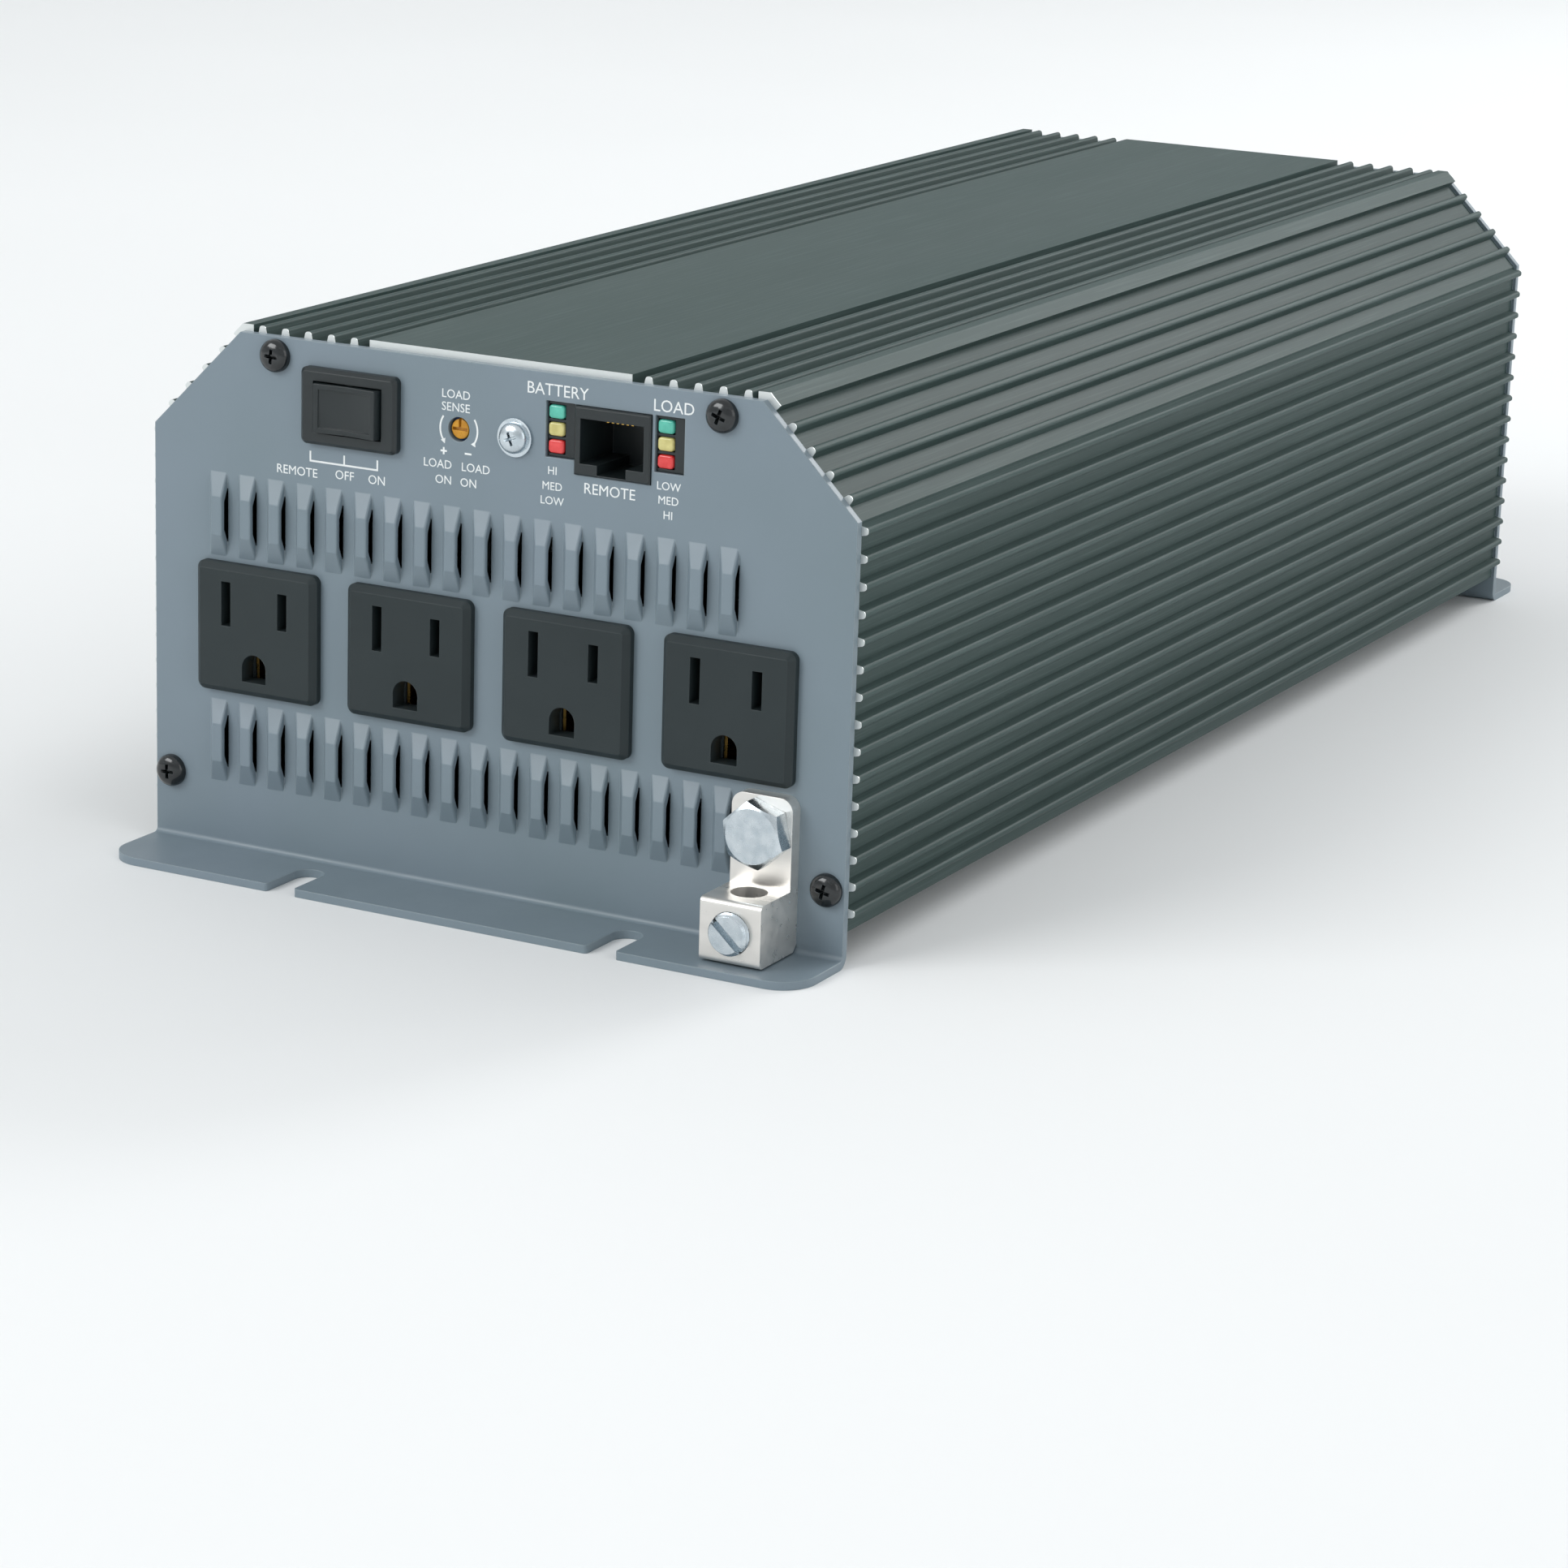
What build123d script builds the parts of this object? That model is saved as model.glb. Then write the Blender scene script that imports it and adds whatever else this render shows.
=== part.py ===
from build123d import *
import os
from math import radians, sqrt, tan

os.makedirs("parts", exist_ok=True)

# ---------------------------------------------------------------- driving sizes, millimetres
# The AC end faces -Y and the DC end faces +Y. Z = 0 is the underside of the mounting flanges.

# case
case_width = 150.0            # end plates, across
case_height = 102.0           # end plates, up
case_length = 347.0           # outer face of one end plate to outer face of the other
corner_leg = 19.5             # 45 degree cut at the two top corners
plate_t = 1.6                 # sheet of the end plates
flange_depth = 17.5           # mounting flange, out from the end plate
flange_corner = 7.0
bend_inner = 1.0
slot_width = 6.0              # open mounting slots in the flanges
slot_depth = 12.5
slot_offset = 34.75           # slot centre to the middle of the case
slot_mouth_round = 0.7
housing_lift = 6.3            # underside of the cover above the mounting plane
groove_sink = 0.7             # floor of the grooves inside the end plates' edge
rib_height = 2.0
rib_root = 2.5                # rib width at its foot
rib_flank = 78.0              # slope of a rib's flanks, degrees
rib_round = 0.6
wall = 2.2                    # cover wall under the grooves
side_pitch = 5.04
side_first = 10.2             # lowest side rib
top_pitch = 5.08
top_first = 31.3              # first top rib beside the middle land
land_half = 27.9              # half of the smooth middle land
bevel_pitch = 5.45
bevel_first = 6.7             # along the cut corner, from its top end
corner_land_top = 2.4         # smooth corner land: along the top, and down the cut corner
corner_land_down = 3.0
base_t = 2.0                  # base plate
lip = 3.0                     # inward lips that carry the base plate
lip_t = 1.2
slip = 0.2                    # clearance of pieces that slide together

# end plate screws
screw_top_in = 8.0            # top screws, in from the cut corner
screw_top_drop = 3.6          # top screws, down from the top edge
screw_low_in = 3.6            # low screws, in from the side
screw_low_z = 14.5
screw_head_r = 3.15
screw_head_t = 2.0
screw_r = 1.75
screw_length = 12.0
port_half = 3.9               # screw ports inside the cover

# outlets
outlet_count = 4
outlet_pitch = 33.9
outlet_z = 45.0
outlet_w = 27.0
outlet_h = 25.2
outlet_proud = 2.5
outlet_bevel = 1.2
outlet_corner = 1.6
outlet_body_inset = 1.3       # body behind the frame, each side
outlet_depth = 24.0
outlet_skin = 4.0             # front wall over the contacts
outlet_rear = 4.0             # back wall
blade_gap = 12.7              # between the two flat blades
blade_up = 4.9                # blade centres above the outlet's middle
ground_down = 11.9            # earth pin below the blades
neutral_h = 8.6
hot_h = 7.1
blade_slot = 2.1
earth_r = 2.7
contact_room = 4.6            # cavity of each contact
contact_sheet = 0.6
contact_h = 6.2
contact_tab = 5.0

# rocker switch
switch_x = -30.5
switch_drop = 11.8            # middle of the switch below the top edge
switch_w = 21.0
switch_h = 14.5
switch_proud = 2.0
switch_body_inset = 1.0
switch_depth = 14.0
switch_window = 9.0           # depth of the rocker's window
switch_bevel = 0.7
switch_corner = 1.2
tab_x = (-6.0, 0.0, 6.0)      # connecting tabs behind the switch
tab_t = 0.8
tab_h = 6.3
tab_length = 8.0
rocker_r = 7.2
rocker_h = 9.2
rocker_gap = 0.3
rocker_proud = 0.6            # middle of the rocker in front of its bezel
rocker_pivot = 1.5            # pivot behind the bezel's face
rocker_rake = 6.0             # slope of the two halves, degrees
axle_r = 1.0
axle_reach = 5.5              # half length of the rocker's axle
rocker_tail = 4.5             # rocker behind its pivot
run_gap = 0.05                # radial clearance of shafts and screws in their bores

# trimmer, panel screw, indicators, jack
trim_x = -7.4
trim_drop = 12.75
trim_hole_r = 2.3
trim_dial_r = 1.9
trim_body = 9.5
trim_depth = 6.0
trim_set_back = 0.3
trim_bore = 3.0
trim_recess = 0.4
trim_slot = 0.7
panel_head_t = 2.2
panel_shank_r = 1.5
panel_tail = 4.0
panel_screw_x = 4.7
panel_screw_r = 3.6
bracket_w = 9.0
bracket_t = 1.5
bracket_foot = 9.0
lamp_drop = 10.3
lamp_left = 14.1
lamp_right = 36.8
lamp_w = 5.9
lamp_h = 10.2
lamp_pitch = 3.2
lens_w = 3.3
lens_h = 2.5
lens_proud = 0.5
lamp_depth = 9.0
lamp_recess = 0.7             # holder's face behind the panel's face
lens_seat = 2.0
lens_shift = -1.0
jack_x = 25.2
jack_drop = 11.6
jack_w = 15.8
jack_h = 12.7
jack_wall = 1.3
jack_depth = 17.0
jack_bore = 12.0
jack_proud = 0.6
jack_edge = 0.3
jack_pins = 6
jack_key = 1.8                # latch channel under the opening
jack_key_w = 6.0
jack_pin_pitch = 1.02
jack_pin_t = 0.5
jack_pin_up = 3.6             # pins above the jack's middle
jack_pin_front = 3.0
jack_pin_tail = 2.0
control_w = 58.0
control_x = 15.0
control_length = 40.0
board_t = 1.6

# louvres
louver_count = 18
louver_pitch = 6.47
louver_first = -60.8          # left edge of the first strip
louver_strip = 2.3
louver_flank = 1.6
louver_proud = 2.0
louver_sheet = 0.9
louver_rows = (66.6, 22.2)    # middle height of each row
louver_length = 16.2
louver_wall = 1.0             # rim between a louvre's foot and its mouth
louver_end = 4.4              # sloping end of a louvre
louver_round = 0.35

# ground lug
lug_x = 59.3
lug_w = 12.4
lug_gap = 0.3                 # block above the flange
lug_block_h = 11.9
lug_block_d = 14.0
lug_tongue_t = 3.0
lug_top = 31.0
lug_bolt_z = 24.2
lug_bolt_r = 3.1
lug_hex = 11.1                # across the flats
lug_hex_t = 4.2
lug_bore_r = 3.4
lug_bore_out = 7.0            # wire bore's axis, out from the plate
lug_screw_z = 7.8
lug_screw_r = 4.0
lug_screw_len = 5.0
lug_screw_out = 1.6           # clamp screw's face in front of the block
lug_screw_slot = 1.3
lug_screw_edge = 0.4
lug_nut_t = 5.0
lug_tail = 2.0
lug_round = 2.5
lug_edge_round = 1.0
lug_crown = 1.08
lug_crown_taper = -12.0

# fan
fan_z = 56.5
fan_size = 80.0
fan_depth = 25.0
fan_hole_inset = 4.25         # screw holes, in from the frame's edges
fan_duct_inset = 1.7          # duct, in from the frame's edges
fan_wall = 1.3
fan_flange = 3.5
fan_opening_gap = 0.2         # plate's opening outside the duct
fan_hub_r = 17.0
fan_tip_gap = 1.0
fan_blades = 7
fan_bolt_r = 2.0
fan_corner = 4.0
fan_boss_r = 4.6
fan_mount_r = 16.5            # disc that carries the motor
fan_mount_t = 2.5
fan_strut_w = 4.0
fan_hub_set = 2.5             # hub's face behind the fan's face
fan_hub_depth = 18.0
fan_hub_wall = 1.6
fan_shaft_r = 1.5
fan_rotor_gap = 1.0           # stator to the hub and to its mount
fan_stator_r = 13.5
fan_tube_r = 3.6
fan_head_r = 3.8
fan_head_t = 2.4
fan_nut_flats = 7.0
fan_nut_t = 3.2
blade_root_r = 16.1
blade_axial = 13.0
blade_root_sweep = 8.0
blade_tip_sweep = 20.0
blade_bow = 1.6
blade_t = 1.3
guard_wire_r = 0.9
guard_ring_count = 5
guard_inner = 8.0             # smallest ring
guard_outer_in = 1.5          # largest ring, in from the plate's opening
guard_stand = 3.0             # ring plane in front of the plate
guard_eye_r = 3.0
guard_vertex = 4.0            # where the two bent spokes come nearest the middle
guard_vertex_round = 7.0
guard_step_round = 2.0
guard_foot_in = 4.25          # spokes' step up from the plate, in from the screw holes
guard_step = 2.9              # reach of that step

# DC terminals
term_x = 51.8
term_half = 10.4
term_depth = 25.0
term_draft = 2.4
term_top = 65.0
term_box_low = 29.2
term_ledge = 51.0
term_ledge_t = 1.5
term_pocket_half = 7.4
term_back = 5.0
term_tab_low = 16.5
term_tab_round = 8.0
term_nose_round = 6.0
term_edge_round = 0.8         # along the box's sides and front
term_screw_z = 22.0
term_recess = 7.8
term_recess_depth = 2.5
term_head_r = 3.4
term_window_half = 5.2        # opening in the back wall over the lug's bolt
term_window_low = 52.5
term_window_high = 62.0
term_sink = 1.0               # bevel round the wire entry
term_ring = 0.9               # lug face left showing round its bore
term_mark = 4.4               # raised polarity mark
term_mark_w = 1.0
term_mark_x = -4.6
term_mark_z = 48.0
term_mark_t = 0.35
block_wall = 1.4              # lug's side walls beside the wire bore
block_floor = 1.5             # under the wire bore
block_sink = 2.0              # lug behind the cover's face
block_set = 0.4               # lug held off the end plate
tongue_t = 2.8
tongue_cap = 5.1              # tongue above its bolt
wire_z = 41.2
wire_r = 5.7
clamp_r = 5.0
clamp_back = 13.0             # clamp screw axis, out from the plate
clamp_low = 36.4
clamp_length = 14.2
clamp_socket = 5.0
term_bolt_z = 57.3
term_bolt_r = 2.5
term_bolt_head_r = 4.2
term_bolt_head_t = 2.6
term_nut_flats = 8.0
term_nut_t = 4.0
term_screw_r = 1.9
bush_room = 2.5               # insulating gap round the lug bolts
bus_t = 3.0
bus_gap = 0.6                 # insulating gap behind the plate
bus_low = 43.0
bus_high = 63.5
bus_half = 6.5
bus_drop = 14.0               # board's edge to the bus bar's drop
bus_foot = 12.0

# inside
standoff_h = 8.0
board_side_gap = 9.6          # board's edge to the cover's wall
board_margin = 35.0           # end plate to the edge of the main board
heat_bar_t = 7.0
heat_bar_h = 34.0
heat_bar_low = 20.0
dc_bar_length = 104.0
ac_bar_length = 92.0
bar_end = 20.0                # board's edge to the end of a heat bar
transistor_t = 4.5
transistor_w = 10.2
transistor_h = 9.2
transistor_tab = 6.4
transistor_leg = 6.0
tab_sheet = 1.3
leg_t = 0.7
leg_pitch = 2.54
dc_transistor_count = 6
dc_transistor_pitch = 16.5
ac_transistor_count = 4
ac_transistor_pitch = 22.0
fuse_leg_t = 0.8
board_screw_r = 1.5
board_head_r = 2.8
board_head_t = 1.8
standoff_flats = 5.5
core_w = 34.0                 # transformers
core_d = 16.0
core_h = 34.0
core_leg = 9.0
core_window_w = 8.5
core_window_h = 22.0
winding_reach = 6.8
core_count = 3
core_pitch = 38.0
core_place = 78.0             # transformers, in from the board's DC edge
cap_r = 8.0
cap_h = 30.0
cap_count = 5
cap_pitch = 18.0
cap_place = 42.0
bus_cap_r = 12.5
bus_cap_h = 46.0
bus_cap_gap = 8.0             # between the two cans
cap_rim = 1.0
bus_cap_place = 62.0          # in from the board's AC edge
choke_r = 14.0
choke_wire_r = 6.5
choke_place = 100.0
fuse_count = 6
fuse_pitch = 13.0
fuse_t = 5.0
fuse_w = 19.0
fuse_h = 12.0
holder_t = 7.6
holder_w = 21.0
holder_h = 8.0
fuse_leg = 5.0
fuse_leg_place = 5.5          # legs, from the fuse's middle
fuse_edge = 3.0               # board's edge to the fuse holders
board_screw_inset = 6.0       # board screws, in from the board's edges

# ---------------------------------------------------------------- places worked out from them
y_span = flange_depth + case_length + max(flange_depth, term_depth + term_mark_t)
y_ac = -y_span / 2 + flange_depth
y_dc = y_ac + case_length
half_width = case_width / 2
cut_length = corner_leg * sqrt(2)
rib_tip = rib_height - groove_sink
side_ribs = 1 + int((case_height - corner_leg - side_first) / side_pitch)
top_ribs = 1 + int((half_width - corner_leg - corner_land_top - top_first) / top_pitch)
bevel_ribs = 1 + int((cut_length - rib_root - bevel_first) / bevel_pitch)
screw_top = (half_width - corner_leg - screw_top_in, case_height - screw_top_drop)
screw_low = (half_width - screw_low_in, screw_low_z)
switch_z = case_height - switch_drop
trim_z = case_height - trim_drop
lamp_z = case_height - lamp_drop
jack_z = case_height - jack_drop
jack_pin_z = jack_z + jack_pin_up
control_top = jack_z - jack_h / 2 - slip / 2
lug_low = plate_t + lug_gap
fan_holes = fan_size - 2 * fan_hole_inset
fan_duct_r = fan_size / 2 - fan_duct_inset
fan_opening_r = fan_duct_r + fan_opening_gap
fan_tip_r = fan_duct_r - fan_tip_gap
guard_ring_step = (fan_opening_r - guard_outer_in - guard_inner) / (guard_ring_count - 1)
guard_rings = [guard_inner + i * guard_ring_step for i in range(guard_ring_count)]
guard_foot = fan_holes / 2 - guard_foot_in
guard_rise = guard_foot - guard_step
block_half = wire_r + block_wall
block_low = wire_z - wire_r - block_floor
block_front = term_depth - block_sink
tongue_top = term_bolt_z + tongue_cap
wall_inside = half_width - groove_sink - wall
board_half = wall_inside - board_side_gap
base_top = housing_lift + lip_t + base_t
board_low = base_top + standoff_h
board_top = board_low + board_t
board_front = y_ac + board_margin
board_back = y_dc - board_margin
standoff_x = (board_screw_inset - board_half, board_half - board_screw_inset)
standoff_y = (board_front + board_screw_inset, (board_front + board_back) / 2,
              board_back - board_screw_inset)
outlet_x = [outlet_pitch * (i - (outlet_count - 1) / 2) for i in range(outlet_count)]
guard_spoke = guard_stand + 1.8 * guard_wire_r


def ac(out=0.0):
    """Plane parallel to the AC end plate, the given distance out from its face."""
    return Plane((0, y_ac - out, 0), x_dir=(1, 0, 0), z_dir=(0, -1, 0))


def dc(out=0.0):
    """Plane parallel to the DC end plate, seen from outside, so its x runs towards -X."""
    return Plane((0, y_dc + out, 0), x_dir=(-1, 0, 0), z_dir=(0, 1, 0))


def save(builder, name):
    """Label a finished sub-part and write its STEP file."""
    builder.part.label = name
    export_step(builder.part, f"parts/{name}.step")


def case_outline(inset, low):
    """Corner points of the case section, inset from the end plates' edge."""
    half = half_width - inset
    top = case_height - inset
    leg = corner_leg - inset * (2 - sqrt(2))
    return [(-half, low), (half, low), (half, top - leg), (half - leg, top),
            (leg - half, top), (-half, top - leg)]


def spot(plane, x, y):
    """The same plane, with its origin moved to a point on it."""
    return Plane(plane.from_local_coords(Vector(x, y, 0)), x_dir=plane.x_dir, z_dir=plane.z_dir)


def slab(plane, x, y, width, height, depth, mode=Mode.ADD):
    """Rectangular block raised from a plane, or cut into it, in the open part."""
    with BuildSketch(plane) as face:
        with Locations((x, y)):
            Rectangle(width, height)
    extrude(face.sketch, amount=depth, mode=mode)


def disc(plane, x, y, radius, depth, mode=Mode.ADD):
    """Round boss raised from a plane, or hole cut into it, in the open part."""
    with BuildSketch(plane) as face:
        with Locations((x, y)):
            Circle(radius)
    extrude(face.sketch, amount=depth, mode=mode)


def hexagon(plane, x, y, flats, depth, mode=Mode.ADD, turn=0.0):
    """Hexagonal prism raised from a plane, or cut into it, in the open part."""
    with BuildSketch(plane) as face:
        with Locations((x, y)):
            RegularPolygon(flats / 2, 6, major_radius=False, rotation=turn)
    extrude(face.sketch, amount=depth, mode=mode)


def pan_screw(seat, head_r, head_t, shank_r, length, turn=0.0):
    """Pan head screw with a cross recess: head out along the seat's normal, shank behind it."""
    with BuildPart() as screw:
        disc(seat, 0, 0, head_r, head_t)
        rim = screw.edges().filter_by(GeomType.CIRCLE).sort_by(Axis(seat.origin, seat.z_dir))[-1]
        fillet(rim, head_t * 0.55)
        disc(seat, 0, 0, shank_r, -length)
        with BuildSketch(seat.offset(head_t)) as recess:
            Rectangle(head_r * 1.1, head_r * 0.28, rotation=turn)
            Rectangle(head_r * 0.28, head_r * 1.1, rotation=turn)
        extrude(recess.sketch, amount=-head_t * 0.7, mode=Mode.SUBTRACT)
    return screw.part


def nut(seat, flats, height, bore_r):
    """Hexagon nut standing on its seat."""
    with BuildPart() as body:
        hexagon(seat, 0, 0, flats, height)
        disc(seat, 0, 0, bore_r, height, Mode.SUBTRACT)
    return body.part


def gather(solids, name):
    """Join loose solids of one kind into one sub-part and write it."""
    with BuildPart() as group:
        for solid in solids:
            add(solid)
    save(group, name)


# ---------------------------------------------------------------- case
with BuildSketch() as rib_profile:
    Trapezoid(rib_root, rib_height + wall / 2, rib_flank, align=(Align.CENTER, Align.MIN))
    fillet(rib_profile.vertices().group_by(Axis.Y)[-1], rib_round)

rib_foot = groove_sink + wall / 2
rib_places = []
for side in (-1, 1):
    for i in range(side_ribs):
        rib_places.append(Location((side * (half_width - rib_foot), side_first + i * side_pitch, 0),
                                   -90 * side))
    for i in range(top_ribs):
        rib_places.append(Location((side * (top_first + i * top_pitch), case_height - rib_foot, 0), 0))
    for i in range(bevel_ribs):
        along = (bevel_first + i * bevel_pitch - rib_foot) / sqrt(2)
        rib_places.append(Location((side * (half_width - corner_leg + along),
                                    case_height - along - rib_foot * sqrt(2), 0), -45 * side))

with BuildPart() as housing_cover:
    with BuildSketch(ac(-plate_t)) as section:
        with BuildLine():
            Polyline(*case_outline(groove_sink, housing_lift), close=True)
        make_face()
        with Locations(*rib_places):
            add(rib_profile.sketch)
        with Locations((0, case_height - rib_foot)):
            Rectangle(2 * land_half, rib_foot + rib_tip, align=(Align.CENTER, Align.MIN))
        tip = case_outline(-rib_tip, housing_lift)
        foot = case_outline(rib_foot, housing_lift)
        for side in (-1, 1):
            edge = (side * tip[3][0], tip[3][1])
            down = corner_land_down / sqrt(2)
            with BuildLine():
                Polyline((edge[0] - side * corner_land_top, foot[3][1]),
                         (edge[0] - side * corner_land_top, edge[1]), edge,
                         (edge[0] + side * down, edge[1] - down),
                         (edge[0] + side * (down - rib_foot), edge[1] - down - rib_foot),
                         close=True)
            make_face()
        with BuildLine():
            Polyline(*case_outline(groove_sink + wall, housing_lift + lip_t), close=True)
        make_face(mode=Mode.SUBTRACT)
        with Locations((0, housing_lift)):
            Rectangle(2 * (wall_inside - lip), 4 * lip_t, mode=Mode.SUBTRACT)
        for side in (-1, 1):
            port = half_width - groove_sink - wall / 2
            with Locations((side * (screw_low[0] - port_half + port) / 2, screw_low[1])):
                Rectangle(port - screw_low[0] + port_half, 2 * port_half)
            roof = case_height - groove_sink - wall / 2
            with Locations((side * screw_top[0], (screw_top[1] - port_half + roof) / 2)):
                Rectangle(2 * port_half, roof - screw_top[1] + port_half)
            with Locations((side * screw_low[0], screw_low[1]), (side * screw_top[0], screw_top[1])):
                Circle(screw_r + slip / 4, mode=Mode.SUBTRACT)
    extrude(amount=-(case_length - 2 * plate_t))
save(housing_cover, "housing_cover")

with BuildPart() as base_plate:
    slab(Plane.XY.offset(housing_lift + lip_t), 0, (y_ac + y_dc) / 2, 2 * (wall_inside - slip),
         case_length - 2 * plate_t, base_t)
    for y in standoff_y:
        for x in standoff_x:
            disc(Plane.XY.offset(base_top), x, y, board_screw_r, -base_t, Mode.SUBTRACT)
save(base_plate, "base_plate")


def end_plate_blank(face, out):
    """Bent panel: cut top corners, outward flange, two open slots and four screw holes."""
    y_face = face().origin.Y
    with BuildPart() as blank:
        with BuildSketch(Plane.YZ.offset(-half_width)) as bend:
            with BuildLine():
                Polyline((y_face, case_height), (y_face, plate_t), (y_face + out * flange_depth, plate_t),
                         (y_face + out * flange_depth, 0), (y_face - out * plate_t, 0),
                         (y_face - out * plate_t, case_height), close=True)
            make_face()
            inner = bend.vertices().sort_by_distance((y_face, plate_t))[0]
            fillet(inner, bend_inner)
            heel = bend.vertices().sort_by_distance((y_face - out * plate_t, 0))[0]
            fillet(heel, bend_inner + plate_t)
        extrude(amount=case_width)
        with BuildSketch(face(flange_depth)):
            with BuildLine():
                Polyline(*case_outline(0, 0), close=True)
            make_face()
        extrude(amount=-flange_depth - plate_t, mode=Mode.INTERSECT)
        tips = blank.edges().filter_by(Axis.Z).sort_by(Axis.Y)
        fillet(tips[-2:] if out > 0 else tips[:2], flange_corner)
        for side in (-1, 1):
            middle = spot(face(), side * slot_offset, 0)
            reach = flange_depth - slot_depth + slot_width / 2
            tip = flange_depth + slip
            with BuildSketch(Plane(middle.origin, x_dir=middle.x_dir, z_dir=(0, 0, -1))) as slot:
                with Locations((0, reach)):
                    Circle(slot_width / 2)
                with Locations((0, (reach + tip) / 2)):
                    Rectangle(slot_width, tip - reach)
            extrude(slot.sketch, amount=-plate_t, mode=Mode.SUBTRACT)
            for x, z in (screw_top, screw_low):
                disc(face(), side * x, z, screw_r + slip, -plate_t, Mode.SUBTRACT)
        mouths = blank.edges().filter_by(Axis.Z).filter_by(
            lambda edge: abs(abs(edge.center().Y - y_face) - flange_depth) < slip
            and abs(abs(edge.center().X) - slot_offset) < slot_width)
        fillet(mouths, slot_mouth_round)
    return blank.part


with BuildPart() as louver_hood:
    with BuildSketch(Plane.XZ):
        with Locations((louver_strip / 2 - louver_flank / 2, 0)):
            Rectangle(louver_strip + louver_flank, louver_length)
    with BuildSketch(Plane.XZ.offset(louver_proud)):
        with Locations((louver_strip / 2, 0)):
            Rectangle(louver_strip, louver_length - 2 * louver_end)
    loft()
    fillet(louver_hood.edges().filter_by(lambda edge: edge.center().Y < -slip), louver_round)
mouth_out = louver_proud - louver_sheet
mouth_h = louver_length - 2 * louver_end * louver_sheet / louver_proud - 2 * louver_wall
mouth_flank = louver_flank * mouth_out / louver_proud
mouth_right = louver_strip + slip
mouth_w = mouth_right + mouth_flank - louver_wall / 2
with BuildPart() as louver_mouth:
    with BuildSketch(Plane.XZ):
        with Locations((mouth_right, 0)):
            Rectangle(mouth_w, mouth_h, align=(Align.MAX, Align.CENTER))
    with BuildSketch(Plane.XZ.offset(mouth_out)):
        with Locations((mouth_right, 0)):
            Rectangle(mouth_w - mouth_flank, mouth_h - 2 * louver_end * mouth_out / louver_proud,
                      align=(Align.MAX, Align.CENTER))
    loft()
    slab(Plane.XZ, mouth_right - mouth_w / 2, 0, mouth_w, mouth_h, -plate_t)

louver_spots = [(louver_first + i * louver_pitch, y_ac, z) for z in louver_rows
                for i in range(louver_count)]

with BuildPart() as ac_end_plate:
    add(end_plate_blank(ac, -1))
    with Locations(*louver_spots):
        add(louver_hood.part)
    with Locations(*louver_spots):
        add(louver_mouth.part, mode=Mode.SUBTRACT)
    for x in outlet_x:
        slab(ac(), x, outlet_z, outlet_w - 2 * outlet_body_inset + slip,
             outlet_h - 2 * outlet_body_inset + slip, -plate_t, Mode.SUBTRACT)
    slab(ac(), switch_x, switch_z, switch_w - 2 * switch_body_inset + slip,
         switch_h - 2 * switch_body_inset + slip, -plate_t, Mode.SUBTRACT)
    disc(ac(), trim_x, trim_z, trim_hole_r, -plate_t, Mode.SUBTRACT)
    disc(ac(), panel_screw_x, trim_z, panel_shank_r + slip, -plate_t, Mode.SUBTRACT)
    for x in (lamp_left, lamp_right):
        slab(ac(), x, lamp_z, lamp_w + slip, lamp_h + slip, -plate_t, Mode.SUBTRACT)
    slab(ac(), jack_x, jack_z, jack_w + slip, jack_h + slip, -plate_t, Mode.SUBTRACT)
    disc(ac(), lug_x, lug_bolt_z, lug_bolt_r + slip, -plate_t, Mode.SUBTRACT)
save(ac_end_plate, "ac_end_plate")

fan_corners = [(x * fan_holes / 2, fan_z + z * fan_holes / 2) for x in (-1, 1) for z in (-1, 1)]
with BuildPart() as dc_end_plate:
    add(end_plate_blank(dc, 1))
    disc(dc(), 0, fan_z, fan_opening_r, -plate_t, Mode.SUBTRACT)
    for x, z in fan_corners:
        disc(dc(), x, z, fan_bolt_r + slip, -plate_t, Mode.SUBTRACT)
    for side in (-1, 1):
        disc(dc(), side * term_x, term_bolt_z, term_bolt_r + bush_room, -plate_t, Mode.SUBTRACT)
        disc(dc(), side * term_x, term_screw_z, term_screw_r + slip, -plate_t, Mode.SUBTRACT)
save(dc_end_plate, "dc_end_plate")

gather([pan_screw(spot(face(), side * x, z), screw_head_r, screw_head_t, screw_r, screw_length,
                  turn=31 * side + 17)
        for face in (ac, dc) for side in (-1, 1) for x, z in (screw_top, screw_low)],
       "end_plate_screws")

# ---------------------------------------------------------------- outlets
contact_places = ((-blade_gap / 2, blade_up), (blade_gap / 2, blade_up), (0, blade_up - ground_down))


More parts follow.
